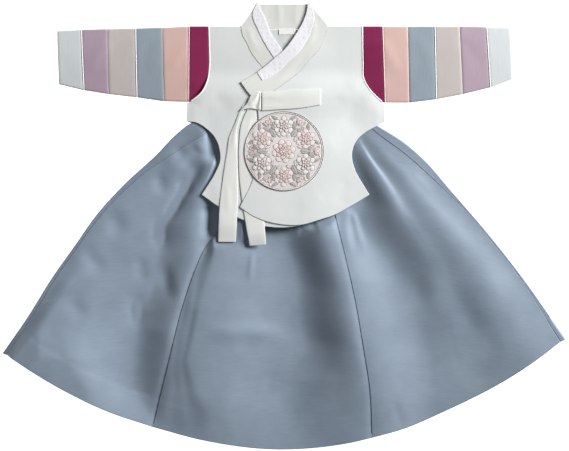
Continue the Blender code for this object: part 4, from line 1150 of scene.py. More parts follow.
# ---- Jacket body -----------------------------------------------------------
@dataclass
class Jeogori:
    """The jacket's body: back, inner front, lapped outer front and armhole piping.

    Attributes:
        armhole_rows: Rows along an armhole.
        cutout_rows: Rows along the cut-out below the side seam.
        neck_rows: Rows along the neckline.
        columns: Columns of a front.
        drop: Width over which a front comes down to its side seam.
        cord: Half-width of the armhole piping.
        sunk: How far the piping's middle is below the cloth's face.
    """

    armhole_rows: int = 48
    cutout_rows: int = 60
    neck_rows: int = 44
    columns: int = 64
    drop: float = 13.0
    cord: float = 1.15
    sunk: float = 0.15

    def build(self) -> None:
        """Make every piece of the body."""
        self.back()
        self.fronts()
        self.piping("piping_right_armhole", ARMHOLE_RIGHT, front_bed)
        self.piping("piping_left_armhole", ARMHOLE_LEFT, outer_bed)

    @property
    def sides(self) -> tuple[np.ndarray, np.ndarray]:
        """Both sides of the body, each from the shoulder to the hem's corner."""
        lines = ((ARMHOLE_RIGHT, UNDERARM_RIGHT, SIDE_SEAM_RIGHT, CUTOUT_RIGHT),
                 (ARMHOLE_LEFT, UNDERARM_LEFT, SIDE_SEAM_LEFT, CUTOUT_LEFT))
        pieces = (self.armhole_rows, 2, 10, self.cutout_rows)
        right, left = (edge(*zip(side, pieces)) for side in lines)
        return right, left

    def back(self) -> None:
        """The back, whose inside shows at the neck."""
        left, right = self.sides
        xs = np.linspace(left[0][0], right[0][0], 2 * self.columns + 1)
        top = np.column_stack([xs, neck_y(xs)])
        bottom = edge((HEM_BACK, 2 * self.columns))
        bottom[0], bottom[-1] = left[-1], right[-1]
        grid = patch(left, right, top, bottom)
        x, y = grid[..., 0], grid[..., 1]
        inland = smoothstep(0.0, 9.0, line_distance(x, y, np.vstack([left, right[::-1]]))[0])
        relief = np.clip(0.3 * swell(x, y, (40, 48), 21), 0.0, 0.3) * inland
        for side, bed in ((SIDE_SEAM_RIGHT, front_bed), (SIDE_SEAM_LEFT, outer_bed)):
            near = 1.0 - smoothstep(0.0, self.drop, line_distance(x, y, np.array(side, float))[0])
            relief = relief + (bed(x, y) - JACKET_WALL - GAP) * 0.85 * near * smoothstep(165.0, 171.0, y)
        seam = 0.168 * np.exp(-((x - BACK_SEAM_X) / 5.0) ** 8)
        made = shell("jeogori_back_silk_panel", with_height(grid, JACKET_WALL + relief + seam),
                     with_height(grid, relief), LINING)
        declare(made, Cut.of(grid), ["jeogori_back"])

    def fronts(self) -> None:
        """The inner front and the outer front that laps over it."""
        left, right = self.sides
        rest = self.armhole_rows + 12 + self.cutout_rows - self.neck_rows
        seam = moved(np.vstack([neckline(COLLAR_INNER_SEAM, self.neck_rows),
                                edge((HIDDEN_FRONT_EDGE, rest))[1:]]), GAP)
        self.front("jeogori_front_right", left, seam, HEM_INNER_FRONT, front_bed,
                   SIDE_SEAM_RIGHT)
        lap = moved(np.vstack([neckline(COLLAR_OUTER_SEAM, self.neck_rows),
                               edge((OVERLAP_EDGE, rest))[1:]]), -GAP)
        self.front("jeogori_front_left", lap, right, HEM_OUTER_FRONT, outer_bed,
                   SIDE_SEAM_LEFT)

    def front(self, name: str, left: np.ndarray, right: np.ndarray, hem: Sequence[Point], bed: Bed,
              side: Sequence[Point]) -> None:
        """One front, brought down to the back along its side seam."""
        grid = panel(left, right, hem, self.columns)
        x, y = grid[..., 0], grid[..., 1]
        low = bed(x, y)
        near = 1.0 - smoothstep(0.5, self.drop, line_distance(x, y, np.array(side, float))[0])
        low = low + (JACKET_WALL + GAP - low) * near * 0.1
        laid(name + "_silk_panel", grid, low, JACKET_WALL, JACKET, [name])

    def piping(self, name: str, armhole: Sequence[Point], bed: Bed) -> None:
        """A cord sewn into the armhole seam."""
        path = edge((armhole, 72))
        low = np.maximum(bed(path[:, 0], path[:, 1]), JACKET_WALL + GAP) + JACKET_WALL
        line = np.column_stack([path, low - self.sunk])
        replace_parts(make_mesh(name + "_cord", *tube(line, self.cord, 10, 0.6), PIPING), name)


def neck_y(x: np.ndarray) -> np.ndarray:
    """Back neckline: a shallow scoop between the shoulders."""
    return SHOULDER_Y - NECK_DROP * smoothstep(-NECK_PLACES[-1], -NECK_FLAT_HALF_WIDTH, -np.abs(x))


def turn_of(seam: Sequence[Point]) -> int:
    """Which point of a collar's seam is on the shoulder line."""
    return [abs(y - SHOULDER_Y) <= 1 for _, y in seam].index(True)


def neckline(seam: Sequence[Point], rows: int) -> np.ndarray:
    """The part of a collar's seam that a front has, from the shoulder down."""
    return edge((seam[turn_of(seam):], rows))


# ---- Collar ----------------------------------------------------------------
@dataclass
class Collar:
    """The lapped collar, its white strips, the back of the collar and the bare label.

    Attributes:
        behind_rows: Rows behind the shoulder.
        neck_rows: Rows down the front.
        end_rows: Rows below the end of the white strip.
        strip_columns: Columns of the white strip.
        band_columns: Columns of a side beyond it.
        band_gap: Air below a side of the collar.
        strip_gap: Air below the white strip.
        stitch_length: Length of the label's stitches.
        stitch_radius: Half their thickness.
        back_folds: Soft folds inside the back of the collar.
        band_folds: Soft folds of its two sides.
    """

    behind_rows: int = 20
    neck_rows: int = 40
    end_rows: int = 12
    strip_columns: int = 8
    band_columns: int = 12
    band_gap: float = 0.4
    strip_gap: float = 0.1
    stitch_length: float = 1.4
    stitch_radius: float = 0.18
    back_folds: tuple[Crease, ...] = (
        Crease([(-10, 342), (-8, 322), (-9, 300)], 0.35, (5, 4), (0.1, 0.4)),
        Crease([(20, 342), (17, 322), (18, 302)], 0.3, (6, 4), (0.1, 0.4)),
        Crease([(-30, 342), (-33, 322), (-40, 304)], 0.25, (5, 4), (0.1, 0.3)))
    band_folds: tuple[Crease, ...] = (
        Crease([(46, 318), (44, 296), (34, 270)], 0.45, (4, 6)),
        Crease([(22, 250), (0, 232), (-20, 214)], 0.35, (4, 6)),
        Crease([(-56, 306), (-50, 284), (-38, 262)], 0.4, (4, 6)),
        Crease([(36, 262), (20, 246), (2, 232)], -0.3, (3, 5)))

    def build(self) -> None:
        """Make every piece of the collar."""
        self.back()
        self.band("collar_inner", "dongjeong_inner", COLLAR_INNER_RIM, DONGJEONG_INNER_SEAM,
                  COLLAR_INNER_SEAM, front_bed, (-60.0, 38.0))
        self.band("collar_outer", "dongjeong_outer", COLLAR_OUTER_RIM, DONGJEONG_OUTER_SEAM,
                  COLLAR_OUTER_SEAM, outer_bed, (52.0, 52.0))
        self.label()

    def back(self) -> None:
        """Inside of the collar behind the neck, with its soft folds."""
        left, right = edge((COLLAR_BACK_RIGHT, 24)), edge((COLLAR_BACK_LEFT, 24))
        xs = np.linspace(COLLAR_BACK_RIGHT[-1][0], COLLAR_BACK_LEFT[-1][0], 49)
        bottom = np.column_stack([xs, neck_y(xs) + GAP])
        left[-1], right[-1] = bottom[0], bottom[-1]
        grid = patch(left, right, between(left[0], right[0], 48), bottom)
        relief = np.clip(creased(self.back_folds, grid[..., 0], grid[..., 1]), 0.0, 1.4)
        laid("collar_back_silk", grid, relief, JACKET_WALL, turned(COLLAR, "collar_back", 0.0),
             ["collar_back"])

    def band(self, name: str, strip_name: str, rim: dict[str, Sequence[Point]],
             strip_seam: dict[str, Sequence[Point]], seam: Sequence[Point], bed: Bed,
             turns: Point) -> None:
        """One side of the collar, and the white strip sewn along its rim."""
        strip_rows = self.behind_rows + self.neck_rows - self.end_rows
        turn = turn_of(seam)
        lines = [edge((rim["beside"], strip_rows), (rim["beyond"], self.end_rows)),
                 edge((strip_seam["beside"], strip_rows), (strip_seam["beyond"], self.end_rows)),
                 edge((seam[:turn + 1], self.behind_rows), (seam[turn:], self.neck_rows))]
        strip_shares, rest_shares = (np.linspace(0, 1, count + 1)[:, None, None]
                                     for count in (self.strip_columns, self.band_columns))
        strip = lines[0] + (lines[1] - lines[0]) * strip_shares
        rest = lines[1] + (lines[2] - lines[1]) * rest_shares[1:]
        grid = np.concatenate([strip, rest]).transpose(1, 0, 2)
        x, y = grid[..., 0], grid[..., 1]
        low = bed(x, y) + self.band_gap + creased(self.band_folds, x, y)
        fine = spaced(np.dstack([grid, low]))
        laid(name + "_silk", fine[..., :2], fine[..., 2], JACKET_WALL, turned(COLLAR, name, turns[0]),
             [name])
        on_band = np.dstack([grid, low + JACKET_WALL + self.strip_gap])
        strip_grid = spaced(on_band[:strip_rows + 1, :self.strip_columns + 1])
        laid(strip_name + "_brocade", strip_grid[..., :2], strip_grid[..., 2], STRIP_WALL,
             turned(BROCADE, strip_name, turns[1]), [strip_name])

    def label(self) -> None:
        """A bare woven label sewn in below the back of the collar."""
        (x, y), (width, height) = LABEL_CORNER, LABEL_SIZE
        left = between((x, y + height), (x, y), 6)
        grid = panel(left, left + (width, 0), [(x, y), (x + width, y)], 12)
        laid("neck_label_tape", grid, JACKET_WALL + GAP, LABEL_WALL, LABEL, ["neck_label"],
             trims=[self.stitches(x, y, width, height)])

    def stitches(self, x: float, y: float, width: float, height: float) -> bpy.types.Object:
        """Short stitches along the label's top and down its ends."""
        level = JACKET_WALL + GAP + LABEL_WALL
        places = [((x + 1.0 + 2.2 * k, y + height - 0.9), (1, 0)) for k in range(int(width / 2.2))]
        for side in (x + 0.9, x + width - 0.9):
            places += [((side, y + 0.8 + 2.0 * k), (0, 1)) for k in range(int(height / 2.0))]
        return stitch_row("neck_label_stitches", [(*place, level) for place, _ in places],
                          [run for _, run in places], self.stitch_length, self.stitch_radius, PIPING)


def spaced(grid: np.ndarray) -> np.ndarray:
    """The grid with close rows and columns added inside its edges."""
    for _ in range(2):
        lead = np.linalg.norm((grid[1] - grid[0])[..., :2], axis=1).max()
        tail = np.linalg.norm((grid[-2] - grid[-1])[..., :2], axis=1).max()
        first = [grid[0] + (grid[1] - grid[0]) * min(inset / lead, 0.9) for inset in (0.4, 0.9)]
        last = [grid[-1] + (grid[-2] - grid[-1]) * min(inset / tail, 0.9) for inset in (0.9, 0.4)]
        grid = np.concatenate([grid[:1], first, grid[1:-1], last, grid[-1:]])
        grid = grid.transpose(1, 0, 2)
    return grid


def stitch_row(name: str, places: Sequence[tuple[float, float, float]], runs: Sequence[Point],
               length: float, radius: float, cloth: Cloth) -> bpy.types.Object:
    """Copies of one short arched stitch, joined.

    Args:
        name: The object's name.
        places: Middle of each stitch, in millimetres.
        runs: Direction of each stitch.
        length: Length of a stitch.
        radius: Half its thickness.
        cloth: Finish of its thread.

    Returns:
        The object.
    """
    shares = np.linspace(-0.5, 0.5, 5)
    points, faces = [], []
    for place, run in zip(places, runs):
        run = np.asarray(run, float) / np.linalg.norm(run)
        line = np.column_stack([np.outer(shares * length, run), 0.8 * radius * (1 - 3.2 * shares**2)])
        made, sides = tube(line + np.asarray(place), radius, 5)
        faces += [tuple(k + 25 * len(points) for k in face) for face in sides]
        points.append(made)
    return make_mesh(name, np.vstack(points), faces, cloth)


# ---- Sleeves ---------------------------------------------------------------
@dataclass
class Sleeve:
    """One sleeve: six strips seamed round it, with piping in three of the seams.

    Attributes:
        side: The wearer's side, in the names.
        seams: The seams at which its strips start.
        armhole: The armhole that it is set into.
        out: The way from the body to the cuff, -1 or 1.
        columns: Columns of a strip.
        around: Points along one layer, from the underarm to the fold.
        puff: Height of the air between its layers.
        creases: Soft folds of the upper layer.
        cord: Half-width of the piping.
        sunk: How far the piping's middle is below the cloth's face.
        dip: How far the upper layer dips to its seams.
        lining: How far the strips' inner face is inside the outer one.
    """

    side: str
    seams: Sequence[Seam]
    armhole: Sequence[Point]
    out: int
    creases: Sequence[Crease]
    columns: int = 18
    around: int = 44
    puff: float = 1.5
    cord: float = 0.8
    sunk: float = 0.35
    dip: float = 0.35
    lining: float = JACKET_WALL * 0.8

    def build(self) -> None:
        """Make the strips and the piping, from the cuff to the armhole."""
        for seam, following in zip(self.seams, (*self.seams[1:], None)):
            self.strip(seam, following, [self.piping(seam)] if seam.piping else [])

    def section(self, top: np.ndarray, bottom: np.ndarray, puff: float, depth: float) -> np.ndarray:
        """One ring of a flattened sleeve, from the underarm along the surface and back.

        Args:
            top: Its place on the shoulder line.
            bottom: Its place on the underarm seam.
            puff: Height of the air between the layers.
            depth: How far the ring is inside the outer face.

        Returns:
            Points as (x, y, z).
        """
        even = np.linspace(0.0, 1.0, self.around)
        shares = 0.6 * even + 0.4 * (1 - np.cos(even * math.pi)) / 2
        length = np.linalg.norm(top - bottom)
        run = (top - bottom) / length
        from_edge = np.minimum(shares, 1 - shares) * length
        radius = (2 * JACKET_WALL + GAP) / 2
        curl = np.sqrt(np.clip(1 - (1 - np.clip(from_edge / (radius * 1.6), 0, 1)) ** 2, 0, 1))
        lens = puff * 4 * shares * (1 - shares)
        half = (radius - depth) * np.maximum(curl, 0.12)
        places = bottom + run * depth + np.outer(shares, run) * (length - 2 * depth)
        x, y = places.T
        relief = creased(self.creases, x, y) + 0.22 * swell(x, y, (26, 30), 31 + self.out)
        upper = radius + half + (lens + relief * min(puff, 1.0)) * curl
        return np.vstack([np.column_stack([places, radius - half]), np.column_stack([places, upper])[::-1]])

    def strip(self, seam: Seam, following: Seam | None, trims: Sequence[bpy.types.Object]) -> None:
        """One strip of the sleeve, as a tube open at its ends.

        Args:
            seam: The seam at which it starts.
            following: The seam at which it ends, or None for the armhole.
            trims: The piping in its first seam; not used.
        """
        end, end_room = np.array([seam.top, self.armhole[-1]], float), 0.5
        if following:
            end, end_room = following.ends, following.room
        close = np.array([0.0, 0.012, 0.03])
        middle = np.linspace(0.0, 1.0, self.columns)[1:-1]
        outer, inner = [], []
        for share in np.concatenate([close, middle, 1 - close[::-1]]):
            shift = self.out * (end_room * share - seam.room * (1 - share))
            top, bottom = seam.ends * (1 - share) + end * share + (shift, 0)
            puff = self.puff * (1.0 if following else 1 - 0.75 * share)
            dip = self.dip * bell(min(share, 1 - share), 0.035)
            for rings, depth in ((outer, 0.0), (inner, self.lining)):
                ring = self.section(top, bottom, puff, depth)
                ring[self.around:, 2] -= dip
                rings.append(ring if following else self.bent(ring, share, end_room))
        outer_grid, inner_grid = np.array(outer), np.array(inner)
        name = f"sleeve_{self.side}_{seam.strip}"
        made = shell(name + "_silk", outer_grid, inner_grid, STRIP_CLOTHS[seam.strip], ring=True)
        closed = np.concatenate([outer_grid, outer_grid[:, :1]], axis=1)
        declare(made, Cut.of(closed), [name])

    def bent(self, ring: np.ndarray, share: float, room: float) -> np.ndarray:
        """Move a ring sideways towards the armhole by a share."""
        path = smooth(self.armhole)[::-1] + (self.out * room, 0)
        target = np.interp(ring[:, 1], path[:, 1], path[:, 0])
        ring = ring.copy()
        ring[:, 0] += (target - ring[:, 0]) * share
        return ring

    def piping(self, seam: Seam) -> bpy.types.Object:
        """The cord in a seam, all round the sleeve."""
        line = self.section(*seam.ends, self.puff, self.sunk)
        points, faces = tube(line, self.cord, 8, flank=(1.0, 0.0, 0.0))
        points[:, 2] = np.maximum(points[:, 2], 0.0)
        name = f"piping_{self.side}_{seam.strip}"
        made = make_mesh(name + "_cord", points, faces, seam.piping)
        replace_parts(made, name)
        return made


# ---- Ribbon ----------------------------------------------------------------
@dataclass
class Goreum:
    """The tied ribbon: its two tails, its knot and its one loop.

    Attributes:
        rows: Rows along a tail.
        columns: Columns across it.
        corner: Radius of a tail's lower corners.
        knot_height: Height of the knot's folded cloth.
        knot_rows: Rows down the knot.
        knot_columns: Columns across it.
        loop_rows: Rows along one layer of the loop.
        loop_columns: Columns across it.
        loop_angles: Places round the loop's fold, in degrees.
        loop_gap: Air between its layers.
        knot_folds: Folds of the knot.
        tail_folds: Folds of the tails.
        loop_folds: Folds of the loop.
    """

    rows: int = 96
    columns: int = 12
    corner: float = 1.2
    knot_height: float = 0.8
    knot_rows: int = 36
    knot_columns: int = 30
    loop_rows: int = 60
    loop_columns: int = 16
    loop_angles: tuple[float, ...] = (-60, -30, 0, 30, 60)
    loop_gap: float = 0.05
    knot_folds: tuple[Crease, ...] = (
        Crease([(-38, 204), (-45, 193), (-55, 182)], 0.6, (2.2, 3.0), (0.05, 0.2)),
        Crease([(-38, 203), (-40, 190), (-46, 178)], -0.7, (1.8, 3.0), (0.1, 0.1)),
        Crease([(-37, 203), (-37.5, 190), (-39, 177)], 0.5, (1.6, 2.4), (0.1, 0.1)))
    tail_folds: tuple[Crease, ...] = (
        Crease([(-62, 172), (-74, 146), (-79, 110)], 0.5, (2.4, 4.0)),
        Crease([(-88, 66), (-86, 40), (-86, 14)], 0.3, (4.0, 5.0)),
        Crease([(-50, 170), (-56, 140), (-56, 100)], 0.4, (3.0, 5.0)))
    loop_folds: tuple[Crease, ...] = (
        Crease([(-36, 196), (-18, 197), (6, 199)], 0.35, (3.0, 6.0), (0.05, 0.6)),
        Crease([(-36, 187), (-16, 188), (4, 189)], -0.25, (2.4, 6.0), (0.05, 0.6)),
        Crease([(-36, 180), (-14, 182), (10, 184)], 0.25, (2.4, 5.0), (0.05, 0.6)))

    def build(self) -> None:
        """Make every piece of the ribbon."""
        self.tail("goreum_tail_outer", TAIL_OUTER_LEFT, TAIL_OUTER_RIGHT)
        self.tail("goreum_tail_inner", TAIL_INNER_LEFT, TAIL_INNER_RIGHT)
        self.knot()
        self.loop()

    def tail(self, name: str, left_points: Sequence[Point], right_points: Sequence[Point]) -> None:
        """One hanging end, its lower corners rounded."""
        left, right = edge((left_points, self.rows)), edge((right_points, self.rows))
        grid = panel(left, right, [left[-1], right[-1]], self.columns)
        from_end = np.linalg.norm(grid[-1:, :1] - grid[:, :1], axis=2)
        short = np.clip(self.corner - from_end, 0, None)
        inset = self.corner - np.sqrt(self.corner**2 - short**2)
        middle = grid.mean(axis=1, keepdims=True)
        half = np.linalg.norm(grid[:, :1] - middle, axis=2)
        grid = middle + (grid - middle) * ((half - inset) / half)[..., None]
        x, y = grid[..., 0], grid[..., 1]
        u = np.linspace(-1, 1, grid.shape[1])[None, :]
        low = ribbon_bed(x, y)
        low = low + 0.8 * (low.max(axis=1, keepdims=True) - low) * below(y, 60.0, 20.0)
        low = low + creased(self.tail_folds, x, y) + 0.3 * (1 - u**2) + 0.15 * swell(x, y, (16, 24), 41)
        laid(name + "_silk", grid, low, RIBBON_WALL, turned(RIBBON, name, 0.0), [name])

    def knot(self) -> None:
        """The folded cloth that wraps the ribbon, pinched at its top."""
        left, right = edge((KNOT_LEFT, self.knot_rows)), edge((KNOT_RIGHT, self.knot_rows))
        grid = panel(left, right, [left[-1], KNOT_BOTTOM, right[-1]], self.knot_columns)
        x, y = grid[..., 0], grid[..., 1]
        low = outer_bed(x, y) + JACKET_WALL + 2 * GAP
        u = np.linspace(-1, 1, grid.shape[1])[None, :]
        v = np.linspace(-1, 1, grid.shape[0])[:, None]
        rise = self.knot_height * (0.5 + 0.5 * (1 - np.abs(u)**3) * (1 - v**4))
        rise = rise + creased(self.knot_folds, x, y)
        made = shell("goreum_knot_silk", with_height(grid, low + rise), with_height(grid, low),
                     turned(RIBBON, "goreum_knot", 30.0))
        declare(made, Cut.of(grid), ["goreum_knot"])

    def loop(self) -> None:
        """The loop: the ribbon laid out to the side and folded back on itself."""
        top, bottom = edge((LOOP_TOP, self.loop_rows)), edge((LOOP_BOTTOM, self.loop_rows))
        shares = np.linspace(0, 1, self.loop_columns + 1)[None, :, None]
        flat = top[:, None] * (1 - shares) + bottom[:, None] * shares
        x, y = flat[..., 0], flat[..., 1]
        bed = outer_bed(x, y) + JACKET_WALL + 2 * GAP
        along = fractions((top + bottom) / 2)[:, None]
        puff = 0.16 * np.sin(np.clip(along, 0, 1) * math.pi) ** 2 + creased(self.loop_folds, x, y)
        half = RIBBON_WALL / 2
        upper = bed + half + RIBBON_WALL + self.loop_gap + np.maximum(puff, 0.0)
        outer = [np.dstack([flat, bed])]
        inner = [np.dstack([flat, bed + RIBBON_WALL])]
        middle = (bed[-1] + half + upper[-1]) / 2
        reach = (upper[-1] - bed[-1] - half) / 2
        for angle in self.loop_angles:
            turn = math.radians(angle)
            for layers, extra in ((outer, half), (inner, -half)):
                radius = reach + extra
                place = flat[-1] + np.column_stack([np.maximum(radius, 0.12) * math.cos(turn) + 0.4,
                                                    np.zeros(len(radius))])
                layers.append(np.dstack([place[None], (middle + radius * math.sin(turn))[None]]))
        outer.append(np.dstack([flat[::-1], upper[::-1] + half]))
        inner.append(np.dstack([flat[::-1], upper[::-1] - half]))
        outer_grid, inner_grid = np.concatenate(outer), np.concatenate(inner)
        made = shell("goreum_loop_silk", outer_grid, inner_grid, turned(RIBBON, "goreum_loop", 90.0))
        declare(made, Cut.of(outer_grid), ["goreum_loop"])


# ---- Medallion -------------------------------------------------------------
@dataclass(frozen=True)
class Thread:
    """A silk embroidery thread.

    Attributes:
        name: The finish's name.
        colour: Colour on top of the stitches.
        shade: Colour between them.
        pitch: Spacing of the stitches, in metres.
        slant: How far they lean, as a share of their length.
        slot: The record's finish that it stands for; not used.
    """

    name: str
    colour: Colour
    shade: Colour
    pitch: float = 0.0011
    slant: float = 0.45
    slot: str = "patch_ground"

    def material(self) -> bpy.types.Material:
        """The thread as a material, its stitches slanting across the piece's own UV."""
        if self.name in bpy.data.materials:
            return bpy.data.materials[self.name]
        graph = Graph(self.name)
        along, across = graph.split(graph.node("ShaderNodeTexCoord", output="UV"))
        stitch = ((along + across * self.slant) * (2 * math.pi / self.pitch)).sine() * 0.5 + 0.5
        tone = stitch * 0.75 + graph.noise((0.004, 0.004, 0.004)).held(0.3, 0.7) * 0.25
        graph.principled(
            Base_Color=graph.mix(tone, self.shade, self.colour), Roughness=0.5 - stitch * 0.12,
            Normal=graph.bump(0.00009, stitch), Sheen_Weight=0.3, Specular_IOR_Level=0.45)
        return graph.material


THREADS = {
    "rose": Thread("thread_dusty_rose", (0.50, 0.355, 0.345), (0.33, 0.21, 0.21)),
    "salmon": Thread("thread_salmon", (0.83, 0.71, 0.68), (0.72, 0.585, 0.56)),
    "blush": Thread("thread_blush", (0.89, 0.835, 0.81), (0.80, 0.73, 0.705)),
    "taupe": Thread("thread_taupe", (0.27, 0.235, 0.23), (0.15, 0.125, 0.12)),
    "sage": Thread("thread_grey_green", (0.60, 0.57, 0.54), (0.46, 0.435, 0.41)),
    "cream": Thread("thread_cream", (0.91, 0.89, 0.87), (0.83, 0.80, 0.78)),
    "brown": Thread("thread_brown_grey", (0.22, 0.18, 0.18), (0.11, 0.09, 0.09), 0.0009),
}


# How far the stitches' edges are below the ground's face.
STITCH_ROOT = 0.05
# Threads of the blossoms: outer petals, inner petals, outlines and middle.
BLOSSOM_THREADS = (("cream", "blush", "taupe", "salmon"), ("blush", "salmon", "rose", "cream"))
# Rings of a blossom's petals: start, length and half-width as shares of its size, and lift.
BLOSSOM_RINGS = ((0.28, 0.72, 0.27, 0.0), (0.16, 0.52, 0.21, 0.2), (0.04, 0.36, 0.14, 0.4))
# Rings of the patch's border: thread, radius, half-width and height.
BORDER_RINGS = (("brown", 60.3, 0.6, 0.5), ("cream", 58.9, 0.55, 0.4), ("taupe", 57.8, 0.26, 0.3))


@dataclass(frozen=True)
class Petal:
    """A petal or a leaf about the patch's centre.

    Attributes:
        base: Where it starts.
        angle: The way that it points, in degrees.
        length: Its length.
        width: Its greatest half-width.
        bend: How much it turns along its length, in degrees.
        blunt: Where it is widest, from 0 at its base to 1 at its tip.
    """

    base: np.ndarray
    angle: float
    length: float
    width: float
    bend: float = 0.0
    blunt: float = 0.6

    def lines(self) -> tuple[np.ndarray, np.ndarray, np.ndarray]:
        """Ten points of its middle line, the way to its left and its half-width at each."""
        t = np.linspace(0.0, 1.0, 10)
        ahead = heading(self.angle + self.bend * (t - 0.5))
        steps = ahead * self.length / 9
        path = self.base + np.vstack([[0.0, 0.0], np.cumsum(steps[:-1], axis=0)])
        half = self.width * np.sin(math.pi * t ** (math.log(0.5) / math.log(self.blunt))) ** 0.75
        return path, left_of(ahead), half


def heading(angle: float | np.ndarray) -> np.ndarray:
    """The direction at an angle in degrees."""
    return np.stack([np.cos(np.radians(angle)), np.sin(np.radians(angle))], axis=-1)


def left_of(way: np.ndarray) -> np.ndarray:
    """The direction to the left of another."""
    return way[..., ::-1] * (-1, 1)


@dataclass
class Medallion:
    """The round patch: a ground, a corded border and a wreath of generic blossoms.

    Attributes:
        centre: Its middle.
        radius: Its radius.
        folds: How many times the design repeats round it.
        stitch_height: Height of the satin stitches.
        line: Half-width of a line of stem stitch.
        wall: Thickness of the ground.
        work: Stitched shapes of each thread, as grids of points and of UV places.
    """

    centre: Point = MEDALLION_CENTRE
    radius: float = MEDALLION_RADIUS
    folds: int = 6
    stitch_height: float = 0.4
    line: float = 0.27
    wall: float = 0.5
    work: dict[str, list[tuple[np.ndarray, np.ndarray]]] = field(default_factory=dict)

    def build(self) -> None:
        """Make the ground, then every stitched shape as one mesh for each thread."""
        self.border()
        self.wreath()
        trims = [self.stitched(thread, shapes) for thread, shapes in self.work.items()]
        steps = np.linspace(-1, 1, 57)
        steps = np.sign(steps) * (1 - (1 - np.abs(steps)) ** 1.25)
        u, v = np.meshgrid(steps, steps[::-1])
        x = self.centre[0] + self.radius * u * np.sqrt(1 - v**2 / 2)
        y = self.centre[1] + self.radius * v * np.sqrt(1 - u**2 / 2)
        laid("medallion_ground", np.dstack([x, y]), self.level, self.wall, PATCH, ["medallion"],
             trims=trims)

    def level(self, x: np.ndarray, y: np.ndarray) -> np.ndarray:
        """Underside of the patch."""
        drop = PATCH_DROP * smoothstep(*PATCH_OVERHANG, -x)
        return outer_bed(x, y) + JACKET_WALL + PATCH_GAP - drop

    def satin_stitch(self, thread: str, path: np.ndarray, half_widths: np.ndarray, height: float) -> None:
        """Lay satin stitches along a line, as a low mound.

        Args:
            thread: Name of the thread.
            path: The mound's middle line about the patch's centre.
            half_widths: Its half-width at each point.
            height: Its height.
        """
        normals = left_of(unit(np.gradient(path, axis=0)))
        v = np.array([-1.0, -0.92, -0.5, 0.0, 0.5, 0.92, 1.0])
        places = path[:, None] + normals[:, None] * (half_widths[:, None] * v)[..., None]
        full = np.sqrt(half_widths / half_widths.max())
        mound = height * full[:, None] * np.sqrt(np.clip(1 - v**2, 0.0, 1.0))
        along = fractions(path) * np.linalg.norm(np.diff(path, axis=0), axis=1).sum()
        uv = np.dstack([np.repeat(along[:, None], len(v), axis=1), half_widths[:, None] * v]) * MM
        self.work.setdefault(thread, []).append((np.dstack([places, mound]), uv))

    def petal(self, thread: str, shape: Petal, height: float) -> None:
        """Fill a petal or leaf with satin stitch."""
        path, _, halves = shape.lines()
        self.satin_stitch(thread, path, np.maximum(halves, 0.1), height)

    def figure(self, fill: str, line: str, shape: Petal, lift: float = 0.0) -> None:
        """A filled petal or leaf, with a line of stem stitch round it."""
        self.petal(fill, shape, self.stitch_height * 0.7 + lift)
        path, side, halves = shape.lines()
        reach = side * halves[:, None]
        rim = np.vstack([path + reach, (path - reach)[-2:0:-1]])
        self.satin_stitch(line, rim, np.full(len(rim), self.line), self.stitch_height + lift)

    def blossom(self, place: np.ndarray, angle: float, size: float, threads: tuple[str, str, str, str],
                petals: int = 6) -> None:
        """A full round blossom: three rings of outlined petals and a knotted middle."""
        for ring, (start, reach, width, lift) in enumerate(BLOSSOM_RINGS):
            for k in range(petals):
                way = angle + 360.0 * (k + 0.5 * ring) / petals
                spot = place + start * size * heading(way)
                self.figure(threads[min(ring, 1)], threads[2],
                            Petal(spot, way, size * reach, size * width, 10.0, 0.66), lift)
        for k in range(5):
            self.petal(threads[3], Petal(place, angle + 72.0 * k, size * 0.16, size * 0.05), 1.2)

    def leaf(self, base: np.ndarray, angle: float, length: float, width: float, bend: float,
             fill: str = "sage") -> None:
        """A pointed leaf with a vein."""
        self.figure(fill, "taupe", Petal(base, angle, length, width, bend, 0.45))
        self.petal("taupe", Petal(base, angle, length * 0.82, 0.34, bend, 0.5), self.stitch_height * 1.2)

    def wreath(self) -> None:
        """A middle blossom, a ring of blossoms, and leaves and buds between them."""
        step = 360.0 / self.folds
        self.blossom(np.zeros(2), 15.0, 18.5, BLOSSOM_THREADS[1], 8)
        for k in range(self.folds):
            angle = 90.0 + step * k
            out = heading(angle)
            side = left_of(out)
            self.blossom(out * 38.5, angle, 16.0, BLOSSOM_THREADS[k % 2])
            self.between(angle + step / 2)
            for hand in (-1.0, 1.0):
                self.leaf(out * 49.0 + side * hand * 8.5, angle + hand * 62.0, 11.0, 2.2, -hand * 34.0)
                self.leaf(out * 21.0 + side * hand * 4.0, angle + hand * 52.0, 9.0, 2.0, hand * 30.0,
                          "cream")

    def between(self, angle: float) -> None:
        """Leaves, a bud and curls between two blossoms of the ring."""
        mid = heading(angle)
        side = left_of(mid)
        t = np.linspace(0.0, 1.0, 18)[:, None]
        self.leaf(mid * 24.5, angle, 17.0, 3.9, 0.0)
        for hand in (-1.0, 1.0):
            self.leaf(mid * 37.0 + side * hand * 1.5, angle + hand * 34.0, 12.5, 2.6, -hand * 30.0)
            curl = mid * (43.0 + 12.0 * t) + side * hand * (1.0 + 6.0 * np.sin(t * math.pi * 0.75))
            self.satin_stitch("taupe", curl, np.full(18, self.line), 0.4)
            self.petal("salmon", Petal(curl[-1] - mid * 1.5, angle + hand * 60.0, 4.2, 1.2), 0.6)
        for turn, fill in ((-32.0, "salmon"), (32.0, "salmon"), (0.0, "blush")):
            self.figure(fill, "rose", Petal(mid * 45.0, angle + turn, 9.5, 2.2), 0.1)

    def border(self) -> None:
        """Rings of satin stitch round the edge."""
        for thread, radius, half, height in BORDER_RINGS:
            ring = radius * heading(np.linspace(0.0, 360.0, 241))
            self.satin_stitch(thread, ring, np.full(241, half), height)

